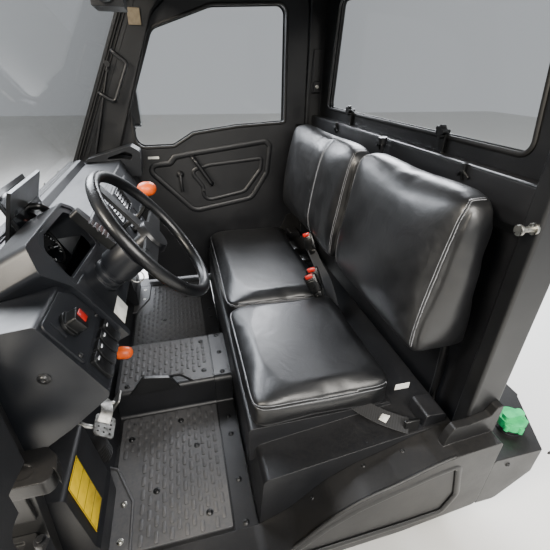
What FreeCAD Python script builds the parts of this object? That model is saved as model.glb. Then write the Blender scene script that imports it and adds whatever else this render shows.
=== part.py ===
import FreeCAD, Part
import math
import os

# Cab of a side by side utility vehicle. Millimetres, +Z up, front to -Y, left to +X.
# The origin is the centre of the four mounting holes, on the underside of the floor frame.

V = FreeCAD.Vector
os.makedirs("parts", exist_ok=True)

# Cab mounts and floor frame
mount_x = 420.0
mount_y = 600.0
mount_hole_r = 6.5
ear_size = 110.0
ear_thick = 10.0
rail_x = 330.0
rail_width = 50.0
rail_height = 60.0
rail_wall = 4.0
rail_front = -660.0
rail_rear = 700.0
cross_height = 92.0
cross_width = 50.0
frame_top = rail_height + cross_height
foot_row = 560.0
cross_inset = 2.0

# Pillars and roof
pillar_out = 740.0
post_side = 56.0
pillar_in = pillar_out - post_side
a_depth = 62.0
post_wall = 4.0
b_side = 44.0
b_in = pillar_out - b_side
b_front = 510.0
b_rear = 600.0
rail_in = pillar_out - 80.0
rail_low = 1590.0
rail_depth = 50.0
rail_high = rail_low + rail_depth
roof_thick = 28.0
roof_front = -330.0
roof_rear = 660.0
roof_half = pillar_out + 35.0
roof_crown = 26.0
roof_wall = 5.0
header_width = 60.0

# Doors, closed: an inner moulding between the pillars and an outer skin that laps them
door_seal = 7.0
door_inner = 35.0
door_skin = 21.0
door_mid = pillar_out + door_seal
door_in = door_mid - door_inner
door_out = door_mid + door_skin
door_inset = 30.0
door_front = -472.0
door_notch_y = -392.0
door_notch_z = 690.0
door_post_z = 880.0
door_rear = 540.0
door_high = 1610.0
door_open = 95.0
glass_thick = 5.0
hinge_x = door_out + 17.0
hinge_y = -485.0
hinge_z = [430.0, 760.0]
hinge_pin_r = 6.0
hinge_play = 0.08
hinge_gap = 0.5
knuckle_r = 12.0
knuckle_high = 44.0
leaf_end = -340.0
striker_x = door_in + 16.0
striker_z = 1007.0

# Floor pan, tunnel and mats
floor_top = 160.0
pan_wall = 8.0
pan_half = door_in
pan_front = -450.0
strip_front = -106.0
strip_rear = -42.0
strip_thick = 6.0
tunnel_left = 235.0
tunnel_right = -30.0
tunnel_rise = 119.0
pan_radius = 14.0
mat_thick = 7.0
mat_margin = 16.0
mat_gap = 6.0
notch_depth = 46.0
notch_front = -330.0
notch_rear = -205.0
notch_slant = 24.0
soft_gap = 0.3

# Firewall and toe board
firewall_y = -640.0
toe_top = 400.0
cowl_z = 862.0
cowl_top = 876.0
firewall_thick = 6.0

# Windscreen plane: leans back from its foot on the cowl
screen_foot_y = -628.0
screen_foot_z = 880.0
screen_lean = 26.3
screen_thick = 5.0
screen_set = 16.0

# Side panels, front wings and rear corners
side_out = pillar_out + 60.0
side_in = pillar_out - 35.0
side_skin = 8.0
side_bottom = 104.0
side_front = -690.0
side_rear = b_rear - 13.0
side_recess = 4.0
collar_out = pillar_out + 22.0
wing_in = pillar_out + 0.3
wing_out = pillar_out + 72.0
wing_top = 676.0
wing_thick = 31.0
wing_rear = -402.0
corner_rear = b_rear + 250.0
corner_top = 360.0
corner_in = pillar_out - 187.0
corner_low = 150.0

# Steering
wheel_x = pillar_out - 366.0
wheel_y = -224.5
wheel_z = 917.0
wheel_tilt = 51.8
wheel_radius = 190.0
rim_r = 14.0
column_r = 32.0
column_length = 470.0
hub_r = 46.0
hub_drop = 64.0
hub_play = 0.5

# Seats
seat_front = -30.0
cushion_low = 425.0
cushion_high = 520.0
cushion_rear = 376.0
cushion_out = pillar_out - 134.0
driver_edge = 126.0
guest_edge = 114.0
base_front = strip_rear + 2.6
base_rear = 508.0
base_wall = 6.0
ledge_out = side_in - soft_gap
ledge_front_z = 356.0
ledge_z = 412.0
ledge_y = 350.0
back_foot_y = 353.0
back_low = 613.0
back_high = 1052.0
back_lean = 9.1
back_rear_low = 540.0
back_rear_high = 506.0
back_out = b_in - 46.0
driver_back_edge = 98.0
guest_back_edge = 86.0
tube_r = 11.0
tube_half = 560.0
latch_x = 92.0
anchor_low = 1180.0
anchor_high = 1330.0
buckle_rows = [(-290.0, 222.0, 14.0), (150.0, 214.0, -8.0), (60.0, 224.0, 20.0)]  # X, Y, turn

# Rear wall and window
rear_y = b_rear - 11.0
rear_wall_thick = 7.0
window_low = 1114.0
window_high = rail_low - 55.0
window_half_low = rail_in - 62.0
window_half_high = rail_in - 115.0
frame_width = 42.0
frame_depth = 22.0
frame_half = rail_in - 0.3

# Wheel arch covers in the footwells
kick_in = pillar_out - 235.0
kick_out = side_in - soft_gap
kick_lip = -386.0
kick_face = -440.0
kick_low = 258.0
kick_high = 460.0
plate_x = kick_in + 55.0
plate_width = 86.0
plate_thick = 1.0

# Filler
neck_x = pillar_out - 24.0
neck_y = rear_y + 118.0
neck_r = 26.0
cap_r = 36.0
cap_high = 26.0
cap_lobes = 6

# Dash: the face runs from its top edge down to its foot
dash_half = pillar_out - 42.0
dash_wall = 4.0
dash_front = -596.0
tray_z = 899.0
tray_bend = -451.0
face_top_y = -403.0
face_top_z = 904.0
face_low_y = -317.0
face_low_z = 733.0
under_y = -475.0
under_z = 610.0
console_left = 70.0
console_right = -200.0
console_out = 22.0
switch_left = dash_half - 6.0
switch_right = dash_half - 176.0
rocker_share = 0.79
rocker_rows = [switch_right + 24.0 + 36.0 * i for i in range(4)]
pod_out = 14.0
pod_depth = 110.0
mouth_depth = 66.0

# Pedals, levers and display
brake_x = wheel_x + 26.0
brake_y = -445.0
brake_z = 325.0
gas_x = wheel_x - 69.0
gas_y = -432.0
gas_z = 312.0
gear_x = 100.0
gear_y = -250.0
gear_z = 960.0
gear_r = 27.0
hand_x = wheel_x - 74.0
hand_y = -352.0
hand_z = 512.0
display_at = (wheel_x - 98.0, -524.0, 968.0)
handle_rows = [(-371.0, 1335.0), (-316.0, 1290.0), (-392.0, 1139.0), (-449.0, 1174.0)]  # Y, Z
handle_r = 8.0
handle_set = 24.0


def place(axis, u, v, w):
    """Point at (u, v) in the plane across an axis, w along it."""
    if axis == "X":
        return V(w, u, v)
    if axis == "Y":
        return V(u, w, v)
    return V(u, v, w)


def outline(points, axis="X", at=0.0):
    """Closed wire through (u, v) or (u, v, radius) points, corners rounded by tangent arcs."""
    corners = []
    count = len(points)
    for i, item in enumerate(points):
        p = V(item[0], item[1], 0)
        radius = item[2] if len(item) > 2 else 0.0
        before = V(points[i - 1][0], points[i - 1][1], 0)
        after = V(points[(i + 1) % count][0], points[(i + 1) % count][1], 0)
        if radius <= 0:
            corners.append((p, p, p))
            continue
        a = (before - p).normalize()
        b = (after - p).normalize()
        half = a.getAngle(b) / 2
        back = radius / math.tan(half)
        middle = (a + b).normalize()
        centre = p + middle * (radius / math.sin(half))
        corners.append((p + a * back, centre - middle * radius, p + b * back))
    edges = []
    for i, (start, mid, end) in enumerate(corners):
        a, m, b = [place(axis, q.x, q.y, at) for q in (start, mid, end)]
        if (b - a).Length > 1e-6:
            edges.append(Part.Arc(a, m, b).toShape())
        nxt = corners[(i + 1) % count][0]
        c = place(axis, nxt.x, nxt.y, at)
        if (c - b).Length > 1e-6:
            edges.append(Part.makeLine(b, c))
    return Part.Wire(edges)


def slab(points, axis, low, high):
    """Prism of an outline between two places on an axis."""
    step = {"X": V(high - low, 0, 0), "Y": V(0, high - low, 0), "Z": V(0, 0, high - low)}[axis]
    return Part.Face(outline(points, axis, low)).extrude(step)


def block(x0, x1, y0, y1, z0, z1):
    """Plain box between two corners."""
    return Part.makeBox(x1 - x0, y1 - y0, z1 - z0, V(x0, y0, z0))


def rod(a, b, r):
    """Cylinder from point a to point b."""
    a = V(*a)
    b = V(*b)
    return Part.makeCylinder(r, (b - a).Length, a, b - a)


def bar(points, r, bend):
    """Round bar along straight runs joined by arcs of one bend radius."""
    pts = [V(*p) for p in points]
    edges = []
    start = pts[0]
    for i in range(1, len(pts) - 1):
        a = (pts[i - 1] - pts[i]).normalize()
        b = (pts[i + 1] - pts[i]).normalize()
        half = a.getAngle(b) / 2
        back = bend / math.tan(half)
        middle = (a + b).normalize()
        centre = pts[i] + middle * (bend / math.sin(half))
        first = pts[i] + a * back
        last = pts[i] + b * back
        edges.append(Part.makeLine(start, first))
        edges.append(Part.Arc(first, centre - middle * bend, last).toShape())
        start = last
    edges.append(Part.makeLine(start, pts[-1]))
    section = Part.Wire(Part.makeCircle(r, pts[0], pts[1] - pts[0]))
    return Part.Wire(edges).makePipeShell([section], True, False)


def mirrored(shape):
    """Copy on the other side of the cab's middle plane."""
    return shape.mirror(V(0, 0, 0), V(1, 0, 0))


def both(shape):
    """A piece and its mirror image."""
    return [shape, mirrored(shape)]


def fuse(*shapes):
    """One solid of several."""
    return shapes[0].multiFuse(list(shapes[1:])).removeSplitter()


def save(name, shapes):
    """Write one node, as separate solids where they don't touch."""
    solids = []
    for shape in shapes if isinstance(shapes, list) else [shapes]:
        solids.extend(shape.Solids)
    for i, solid in enumerate(solids):
        if not solid.isValid() or solid.Volume <= 0:
            print("bad solid", name, i)
    whole = solids[0] if len(solids) == 1 else Part.makeCompound(solids)
    whole.exportStep("parts/" + name + ".step")
    print(name, len(solids), round(sum(s.Volume for s in solids) / 1e6, 3))


def screen_y(z):
    """Y of the windscreen's outer plane at a height."""
    return screen_foot_y + (z - screen_foot_z) * math.tan(math.radians(screen_lean))


# Top edge of the side panels, seen from the side: level with the floor, then up beside the seat
sill_points = [(side_front, 168), (-44, 168, 80), (46, 212, 120), (146, 304, 120), (220, 344, 200),
               (302, 372, 200), (404, 412, 60), (460, 426, 30)]


def floor_frame():
    """Two box rails, four cross tubes on them and four mounting ears."""
    solids = []
    for side in (-1, 1):
        x = side * rail_x
        outer = block(x - rail_width / 2, x + rail_width / 2, rail_front, rail_rear, 0, rail_height)
        inner = block(x - rail_width / 2 + rail_wall, x + rail_width / 2 - rail_wall, rail_front - 1,
                      rail_rear + 1, rail_wall, rail_height - rail_wall)
        solids.append(outer.cut(inner))
        for y in (-mount_y, mount_y):
            near = x + side * rail_width / 2
            far = side * (mount_x + ear_size / 2)
            ear = block(min(near, far), max(near, far), y - ear_size / 2, y + ear_size / 2, 0, ear_thick)
            hole = Part.makeCylinder(mount_hole_r, ear_thick + 2, V(side * mount_x, y, -1))
            solids.append(ear.cut(hole))
    wide = pillar_out - cross_inset
    for y, half in [(-500, wide), (-74, pan_half - 12), (foot_row, wide), (675, corner_in - 8)]:
        outer = block(-half, half, y - cross_width / 2, y + cross_width / 2, rail_height, frame_top)
        inner = block(-half - 1, half + 1, y - cross_width / 2 + rail_wall,
                      y + cross_width / 2 - rail_wall, rail_height + rail_wall, frame_top - rail_wall)
        solids.append(outer.cut(inner))
    return fuse(*solids)


def pan_line(lift):
    """Line of the floor over the tunnel, seen from the front and moved out of the floor's face."""
    outer = pan_radius + lift
    inner = pan_radius - lift
    low = floor_top + lift
    high = low + tunnel_rise
    return [(-pan_half, low), (tunnel_right - lift, low, inner), (tunnel_right - lift, high, outer),
            (tunnel_left + lift, high, outer), (tunnel_left + lift, low, inner), (pan_half, low)]


def pan_section(lift, thick):
    """Band of one thickness along the floor line, its upper face lifted off the floor's."""
    return pan_line(lift) + pan_line(lift - thick)[::-1]


def floor_pan():
    """Moulded floor with its tunnel."""
    return slab(pan_section(0, pan_wall), "Y", pan_front, strip_rear)


def firewall():
    """Toe board and bulkhead in one bent panel, with the steering column's hole."""
    back = firewall_y - firewall_thick
    side = [(pan_front, floor_top), (firewall_y, toe_top, 20), (firewall_y, cowl_z), (back, cowl_z),
            (back, toe_top - 3, 26), (pan_front, floor_top - pan_wall)]
    return slab(side, "X", -pan_half, pan_half)


def floor_mats():
    """Rubber mats: driver's floor, tunnel top with its notched edge, passenger's floor."""
    rear = strip_front - 4
    front = pan_front + 12
    lip = kick_lip + mat_gap
    out = pan_half - 20
    left = tunnel_left + mat_margin
    right = tunnel_right - mat_margin
    driver = [(left, front, 10), (kick_in - 20, front, 20), (kick_in + 50, lip, 20),
              (out, lip, 10), (out, rear, 6), (left, rear, 6)]
    edge = tunnel_left - 4
    notch = edge - notch_depth
    tunnel = [(tunnel_right + mat_margin, front, 10), (edge, front), (edge, notch_front - notch_slant, 6),
              (notch, notch_front + notch_slant, 6), (notch, notch_rear - notch_slant, 6),
              (edge, notch_rear + notch_slant, 6), (edge, rear), (tunnel_right + mat_margin, rear, 6)]
    guest = [(-out, lip, 10), (-kick_in - 50, lip, 20), (-kick_in + 20, front, 20),
             (right, front, 10), (right, rear, 6), (-out, rear, 6)]
    low = floor_top
    high = floor_top + tunnel_rise
    return [slab(driver, "Z", low, low + mat_thick), slab(tunnel, "Z", high, high + mat_thick),
            slab(guest, "Z", low, low + mat_thick)]


def threshold_strip():
    """Screwed strip along the foot of the seat base, over the tunnel too."""
    strip = slab(pan_section(strip_thick, strip_thick), "Y", strip_front, strip_rear)
    return strip.common(block(-ledge_out, ledge_out, strip_front, strip_rear, floor_top, floor_top + 200))


def kick_panels():
    """Moulded wheel arch covers at the outer front corners of the footwells."""
    side = [(kick_lip, floor_top), (kick_lip, floor_top + 12, 5), (kick_face - 2, kick_low, 16),
            (kick_face - 24, kick_high, 14), (firewall_y + 3, kick_high + 12), (firewall_y + 3, toe_top + 10),
            (pan_front + 3, floor_top + 1)]
    panel = slab(side, "X", kick_in, kick_out)
    wedge = slab([(kick_in - 1, kick_lip + 1), (kick_in + 46, kick_lip + 1), (kick_in - 1, kick_face - 2)],
                 "Z", floor_top - 1, kick_high + 30)
    return both(panel.cut(wedge))


def kick_plate():
    """Yellow plate on the driver's wheel arch cover."""
    run = V(0, 22, kick_low - kick_high)
    across = V(0, kick_high - kick_low, 22).normalize()
    start = V(plate_x, kick_face - 24, kick_high) + run * 0.08
    down = run * 0.88
    edge = Part.makePolygon([start, start + down, start + down + V(plate_width, 0, 0),
                             start + V(plate_width, 0, 0), start])
    return Part.Face(edge).extrude(across * plate_thick)


def sill_outline(inset):
    """Side panel seen from the side, every edge drawn inwards by an inset."""
    i = inset
    first = sill_points[0]
    top = [(first[0] + i, first[1] - i)] + [(y, z - i, r) for y, z, r in sill_points[1:]]
    low = side_bottom + i
    return top + [(side_rear - i, 440 - i, 10), (side_rear - i, low + 64, 20), (350, low + 24, 200),
                  (-100, low, 200), (first[0] + i, low)]


def side_panel():
    """Moulded sill and seat side: outer skin with a recessed field, and a top flange over the floor."""
    outer = slab(sill_outline(0), "X", side_in, side_out)
    inner = slab(sill_outline(side_skin), "X", side_in - 1, side_out - side_skin)
    below = block(side_in - 1, side_out - side_skin, side_front + side_skin, side_rear - side_skin,
                  side_bottom - 1, side_bottom + 60)
    field = [(-600, 156, 8), (-50, 156, 60), (20, 172, 100), (128, 262, 120), (200, 304, 200),
             (300, 338, 200), (400, 370, 60), (470, 384, 20), (500, 250, 40), (470, 176, 20),
             (350, 164, 200), (-100, 140, 200), (-600, 136, 8)]
    pocket = slab(field, "X", side_out - side_recess, side_out + 1)
    gap = soft_gap
    rear = block(side_in - 1, pillar_out + gap, b_front - gap, b_rear, 0, 700)
    front = block(side_in - 1, pillar_out + gap, firewall_y - 2, hinge_y + 4, 100 - gap, 700)
    floor = block(side_in - 1, pan_half + gap, side_front - 1, pan_front, 0, 700)
    floor = floor.fuse(block(side_in - 1, pan_half + gap, pan_front - 1, base_front - 1, 0, floor_top + gap))
    collar = slab([(434, 404), (446, 462, 14), (458, 484, 10), (505, 486, 6), (558, 500, 14), (570, 528, 10),
                   (side_rear, 532), (side_rear, 404)], "X", pillar_out + gap, collar_out)
    body = outer.cut(inner.fuse(below)).cut(floor).fuse(collar).removeSplitter()
    low = block(side_in - 1, pillar_out + gap, side_front - 1, side_rear + 1, 0, frame_top + gap)
    low = low.common(block(side_in - 1, side_out - side_skin, -530, 590, 0, floor_top))
    return body.cut(pocket).cut(rear).cut(front).cut(low)


def front_wing():
    """Rear end of the front wing: a rounded cap with a sunk field over the skin beside the door post."""
    low = wing_top - wing_thick
    cap = slab([(wing_in, side_front, 6), (wing_out, side_front, 6), (wing_out, wing_rear + 12, 16),
                (wing_out - 14, wing_rear, 12), (wing_in + 22, wing_rear - 8, 14),
                (wing_in, wing_rear - 30, 8)], "Z", low, wing_top)
    sunk = slab([(wing_in + 20, side_front + 40, 8), (wing_out - 16, side_front + 40, 8),
                 (wing_out - 14, wing_rear - 34, 12), (wing_in + 34, wing_rear - 44, 12),
                 (wing_in + 20, wing_rear - 80, 10)], "Z", wing_top - 3, wing_top + 1)
    skin = block(wing_in, wing_in + side_skin, side_front, hinge_y - 14, floor_top + 12, low)
    slot = block(wing_in - 1, wing_in + side_skin + 1, hinge_y - 140, hinge_y, hinge_z[0] - knuckle_high - 8,
                 hinge_z[0] + knuckle_high + 8)
    return cap.cut(sunk).fuse(skin.cut(slot)).removeSplitter()


def rear_corner(side):
    """Moulded corner behind the seat side, cut away over the wheel; the left one has the filler's hole."""
    skin = side_skin
    heel = corner_rear - 200
    profile = [(side_rear, corner_low + 18), (side_rear, corner_top, 12), (corner_rear, corner_top, 16),
               (corner_rear, corner_top - 46, 10), (corner_rear - 62, corner_top - 50, 20),
               (heel, corner_low + 18, 30)]
    inner = [(side_rear + skin, corner_low + 17), (side_rear + skin, corner_top - skin, 8),
             (corner_rear - skin, corner_top - skin, 8), (corner_rear - skin, corner_top - 47),
             (corner_rear - 66, corner_top - 58, 20), (heel - skin, corner_low + 17)]
    body = slab(profile, "X", corner_in, side_out)
    hollow = slab(inner, "X", corner_in + skin, side_out - skin)
    under = block(corner_in + skin, side_out - skin, side_rear + skin, corner_rear - skin, corner_low - 1,
                  corner_top - 46)
    body = body.cut(hollow.fuse(under.common(slab(inner, "X", corner_in + skin, side_out - skin))))
    trim = slab([(side_out + 1, corner_rear - 106), (side_out + 1, corner_rear + 20),
                 (corner_in + 60, corner_rear + 20), (corner_in + 60, corner_rear - 12)], "Z", corner_low,
                corner_top + 1)
    body = body.cut(trim)
    body = body.cut(block(corner_in - 1, pillar_out + soft_gap, side_rear - 1, b_rear + soft_gap, 0, 700))
    if side > 0:
        neck = Part.makeCylinder(neck_r + 1, 40, V(neck_x, neck_y, corner_top - 20))
        return body.cut(neck)
    return mirrored(body)


def filler_neck():
    """Filler pipe standing in the left rear corner."""
    outer = Part.makeCylinder(neck_r, 110, V(neck_x, neck_y, corner_top - 90))
    collar = Part.makeCylinder(neck_r + 8, 6, V(neck_x, neck_y, corner_top))
    bore = Part.makeCylinder(neck_r - 5, 112, V(neck_x, neck_y, corner_top - 91))
    return fuse(outer, collar).cut(bore)


def filler_cap():
    """Green cap with lobed grip."""
    low = corner_top + 20
    skirt = Part.makeCylinder(cap_r, cap_high, V(neck_x, neck_y, low))
    lobes = []
    for i in range(cap_lobes):
        a = math.radians(360 / cap_lobes * i)
        foot = V(neck_x + cap_r * math.cos(a), neck_y + cap_r * math.sin(a), low)
        lobes.append(Part.makeCylinder(7, cap_high - 6, foot))
    grip = slab([(-12, -cap_r + 4, 8), (12, -cap_r + 4, 8), (12, cap_r - 4, 8), (-12, cap_r - 4, 8)], "Z",
                low + cap_high, low + cap_high + 14)
    grip.translate(V(neck_x, neck_y, 0))
    return fuse(skirt, *lobes, grip)


def base_profile(inset):
    """Seat base's lower step seen from the side, shrunk by a wall."""
    i = inset
    return [(base_front + i, frame_top - i), (base_front + 13 + i, ledge_front_z - i, 22),
            (ledge_y, ledge_z - i, 300), (base_rear - i, cushion_low + 4 - i, 6),
            (base_rear - i, frame_top - i)]


def seat_base():
    """Moulded box under the cushions: a wide step with the cushions' plinth on it, open below."""
    top = cushion_low - soft_gap
    front = seat_front - 14
    rear = cushion_rear + 4
    plinth = [(front, ledge_front_z - 60), (front, top, 14), (rear, top, 6), (rear, ledge_z - 10)]
    half = cushion_out - 8
    outer = slab(base_profile(0), "X", -ledge_out, ledge_out).fuse(slab(plinth, "X", -half, half))
    core = [(front + base_wall, ledge_front_z - 70), (front + base_wall, top - base_wall, 8),
            (rear - base_wall, top - base_wall, 6), (rear - base_wall, ledge_z - 20)]
    inner = slab(base_profile(base_wall), "X", base_wall - ledge_out, ledge_out - base_wall)
    inner = inner.fuse(slab(core, "X", base_wall - half, half - base_wall))
    below = block(base_wall - ledge_out, ledge_out - base_wall, base_front + base_wall, base_rear - base_wall,
                  frame_top - 1, frame_top + 20)
    return outer.cut(inner).cut(below).removeSplitter()


def cushion(x0, x1):
    """Plain solid of a seat cushion."""
    side = [(seat_front, cushion_low, 20), (seat_front - 8, cushion_high - 22, 24), (80, cushion_high, 200),
            (cushion_rear, cushion_high, 20), (cushion_rear, cushion_low, 10)]
    return slab(side, "X", x0, x1)


def back_y(z):
    """Y of the seat backs' front face at a height."""
    return back_foot_y + (z - back_low) * math.tan(math.radians(back_lean))


def back_rear_y(z):
    """Y of the seat backs' rear face at a height."""
    return back_rear_low + (z - back_low) * (back_rear_high - back_rear_low) / (back_high - back_low)


def back(x0, x1):
    """Plain solid of a seat back: thick at its foot, reclined in front."""
    side = [(back_y(back_low), back_low, 34), (back_y(back_high), back_high, 36),
            (back_rear_high, back_high, 36), (back_rear_low, back_low, 44)]
    return slab(side, "X", x0, x1)


def tube_y(z):
    """Y of the seat frame's tube just behind the backs at a height."""
    return back_rear_y(z) + tube_r + soft_gap * 2


def seat_frame():
    """Steel loop behind the backs with its rung and the latch knob between the backs."""
    high = back_high - 110
    low = frame_top + soft_gap
    side = [(foot_row, low), (foot_row, 440), (tube_y(640), 640), (tube_y(high), high)]
    loop = bar([(-tube_half, y, z) for y, z in side] + [(tube_half, y, z) for y, z in side[::-1]], tube_r, 50)
    rung = rod((-tube_half, tube_y(700), 700), (tube_half, tube_y(700), 700), tube_r - 3)
    stem = rod((latch_x, tube_y(high), high), (latch_x, tube_y(high) - 6, back_high + 10), 5.5)
    knob = rod((latch_x, tube_y(high) - 6, back_high + 8), (latch_x, tube_y(high) - 8, back_high + 30), 14)
    return fuse(loop, rung, stem, knob)


def a_pillar():
    """Door pillar foot and the leaning post beside the windscreen."""
    head = cowl_top + 24
    foot = slab([(firewall_y, frame_top), (firewall_y, head - 40), (screen_y(head) + 2, head),
                 (screen_y(head) + 70, head), (hinge_y - 1, head - 40), (hinge_y - 1, 560, 60),
                 (hinge_y - 30, frame_top)], "X", pan_half + 0.5, pillar_out)
    start = screen_foot_z
    post_run = [(screen_y(start), start), (screen_y(rail_low), rail_low),
                (screen_y(rail_low) + a_depth, rail_low), (screen_y(start) + a_depth, start)]
    post = slab(post_run, "X", pillar_in, pillar_out)
    slant = post_wall / math.cos(math.radians(screen_lean))
    low = cowl_top + 10
    core_run = [(screen_y(low) + slant, low), (screen_y(rail_low) + slant, rail_low + 1),
                (screen_y(rail_low) + a_depth - slant, rail_low + 1), (screen_y(low) + a_depth - slant, low)]
    core = slab(core_run, "X", pillar_in + post_wall, pillar_out - post_wall)
    return fuse(foot, post).cut(core)


def b_pillar():
    """Upright beside the seat backs, up to the roof rail."""
    wall = post_wall
    outer = slab([(b_in, b_front, 8), (pillar_out, b_front, 8), (pillar_out, b_rear, 8), (b_in, b_rear, 8)],
                 "Z", frame_top, rail_low)
    core = slab([(b_in + wall, b_front + wall, 5), (pillar_out - wall, b_front + wall, 5),
                 (pillar_out - wall, b_rear - wall, 5), (b_in + wall, b_rear - wall, 5)], "Z", frame_top - 1,
                rail_low - wall)
    return outer.cut(core)


def roof_rails():
    """Side rails, front and rear headers: open channels under the roof skin."""
    front = screen_y(rail_low)
    wall = post_wall
    half = pillar_out
    ring = block(-half, half, front, b_rear, rail_low, rail_high)
    ring = ring.cut(block(-rail_in, rail_in, front + header_width, b_rear - header_width, rail_low - 1,
                          rail_high + 1))
    low = rail_low + wall
    high = rail_high + 1
    cores = [block(rail_in + wall, half - wall, front + wall, b_rear - wall, low, high),
             block(wall - half, -rail_in - wall, front + wall, b_rear - wall, low, high),
             block(-rail_in, rail_in, front + wall, front + header_width - wall, low, high),
             block(-rail_in, rail_in, b_rear - header_width + wall, b_rear - wall, low, high)]
    return ring.cut(fuse(*cores))


def roof_panel():
    """Moulded roof skin with a drip edge."""
    high = rail_high + roof_thick
    top = [(roof_front, rail_high), (roof_front, rail_high + 8), (roof_front + 60, high, 60),
           (roof_rear - 60, high + roof_crown, 60), (roof_rear, rail_high + 8), (roof_rear, rail_high)]
    start = screen_y(rail_low) + header_width
    end = b_rear - header_width
    low = [(start, rail_high - 1), (start, high - roof_wall, 10),
           (end, high + roof_crown - roof_wall - 8, 10), (end, rail_high - 1)]
    skin = slab(top, "X", -roof_half, roof_half)
    return skin.cut(slab(low, "X", -rail_in, rail_in))


def windscreen():
    """Laminated screen in the plane of the front posts."""
    lean = math.radians(screen_lean)
    low = (cowl_top + soft_gap - screen_foot_z) / math.cos(lean)
    high = (rail_low - soft_gap - screen_foot_z) / math.cos(lean) - screen_thick * math.tan(lean)
    half = pillar_in - soft_gap
    corners = [(-half, low, 12), (-half, high, 12), (half, high, 12), (half, low, 12)]
    pane = slab(corners, "Z", 0, screen_thick)
    pane.rotate(V(0, 0, 0), V(1, 0, 0), 90 - screen_lean)
    pane.translate(V(0, screen_foot_y + screen_set, screen_foot_z))
    return pane


def cowl():
    """Panel across the front, with the shelf that the windscreen stands on."""
    shelf = dash_front - 3
    side = [(side_front, 820, 20), (firewall_y - 16, cowl_top, 8), (shelf, cowl_top),
            (shelf, cowl_z + soft_gap), (firewall_y - 8, cowl_z + soft_gap, 3), (side_front + 8, 815, 10),
            (side_front + 8, 300), (side_front, 300)]
    panel = slab(side, "X", -pillar_out, pillar_out)
    for side in (-1, 1):
        x0, x1 = sorted((side * pan_half, side * (pillar_out + 1)))
        panel = panel.cut(block(x0, x1, firewall_y - 2, shelf + 1, 290, cowl_top + 1))
    return panel


def rear_wall():
    """Moulded lower rear panel with a ledge under the window."""
    low = 300
    ledge = window_low - frame_width - soft_gap
    side = [(rear_y, low), (rear_y + rear_wall_thick, low), (rear_y + rear_wall_thick, ledge),
            (rear_y - 46, ledge, 4), (rear_y - 46, ledge - 90, 12), (rear_y, ledge - 130, 20)]
    return slab(side, "X", soft_gap - b_in, b_in - soft_gap)


def window_ring(grow):
    """Rear window outline, grown outwards by a margin."""
    foot = window_half_low + grow
    head = window_half_high + grow
    low = window_low - grow
    high = window_high + grow
    return [(-foot, low, 30), (foot, low, 30), (head, high, 30), (-head, high, 30)]


def rear_window_frame():
    """Frame round the rear window."""
    half = frame_half
    low = window_low - frame_width
    high = rail_low - soft_gap
    outer = slab([(-half, low, 6), (half, low, 6), (half, high), (-half, high)], "Y", rear_y,
                 rear_y + frame_depth)
    inner = slab(window_ring(0), "Y", rear_y - 1, rear_y + frame_depth + 1)
    rebate = slab(window_ring(12), "Y", rear_y + 8, rear_y + 8 + glass_thick)
    ears = []
    for side in (-1, 1):
        x0, x1 = sorted((side * (half - 1), side * (b_in - soft_gap)))
        ears.append(block(x0, x1, rear_y, rear_y + frame_depth / 2, low, high))
    return outer.cut(inner).cut(rebate).fuse(ears).removeSplitter()


def rear_window():
    """Pane held in the rear frame."""
    return slab(window_ring(11.7), "Y", rear_y + 8, rear_y + 8 + glass_thick)


def window_knobs():
    """Star knobs and small clips that hold the rear window."""
    solids = []
    for x in (-311, 309):
        centre = (x, rear_y - 26, window_low + 14)
        hub = rod(centre, (x, rear_y - 8, window_low + 14), 13)
        lobes = [rod((x + 13 * math.cos(a), rear_y - 26, window_low + 14 + 13 * math.sin(a)),
                     (x + 13 * math.cos(a), rear_y - 12, window_low + 14 + 13 * math.sin(a)), 6)
                 for a in [math.radians(72 * i) for i in range(5)]]
        stem = rod((x, rear_y - 8, window_low + 14), (x, rear_y + 8, window_low + 14), 5)
        solids.append(fuse(hub, stem, *lobes))
    return solids


def face_point(share, out=0.0):
    """Point (y, z) on the dash's sloping face: share 0 at its top, 1 at its foot, out along its normal."""
    dy = face_low_y - face_top_y
    dz = face_low_z - face_top_z
    length = math.hypot(dy, dz)
    return (face_top_y + dy * share - dz / length * out, face_top_z + dz * share + dy / length * out)


def face_angle():
    """Slope of the dash's face from level."""
    return math.degrees(math.atan2(face_top_z - face_low_z, face_low_y - face_top_y))


def on_face(shape, x, share, out=0.0):
    """Put a shape, drawn on XY with +Z outwards and +Y uphill, on the dash's face."""
    y, z = face_point(share, out)
    copy = shape.copy()
    copy.rotate(V(0, 0, 0), V(1, 0, 0), face_angle())
    copy.rotate(V(0, 0, 0), V(0, 0, 1), 180)
    copy.translate(V(x, y, z))
    return copy


def face_slab(points, low, high):
    """Prism on the dash's face from (X, share down the face, radius), low and high along its normal."""
    length = math.hypot(face_low_y - face_top_y, face_low_z - face_top_z)
    flat = [(-p[0], -p[1] * length) + tuple(p[2:]) for p in points]
    return on_face(slab(flat, "Z", low, high), 0, 0)


def dash_section(inset, opening=0.0):
    """Dash seen from the side, shrunk by a wall; opening runs it out through the front."""
    i = inset
    front = dash_front - opening if opening else dash_front + i
    return [(front, 700), (front, tray_z - 10 - i, 8), (tray_bend, tray_z - i, 10),
            (face_top_y - 0.6 * i, face_top_z - i, 10), (face_low_y - i * 1.1, face_low_z, 18),
            (face_low_y - 86 - 0.3 * i, face_low_z - 72 + 0.8 * i, 26), (under_y, under_z + i, 20),
            (under_y - 60, under_z + i, 20)]


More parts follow.
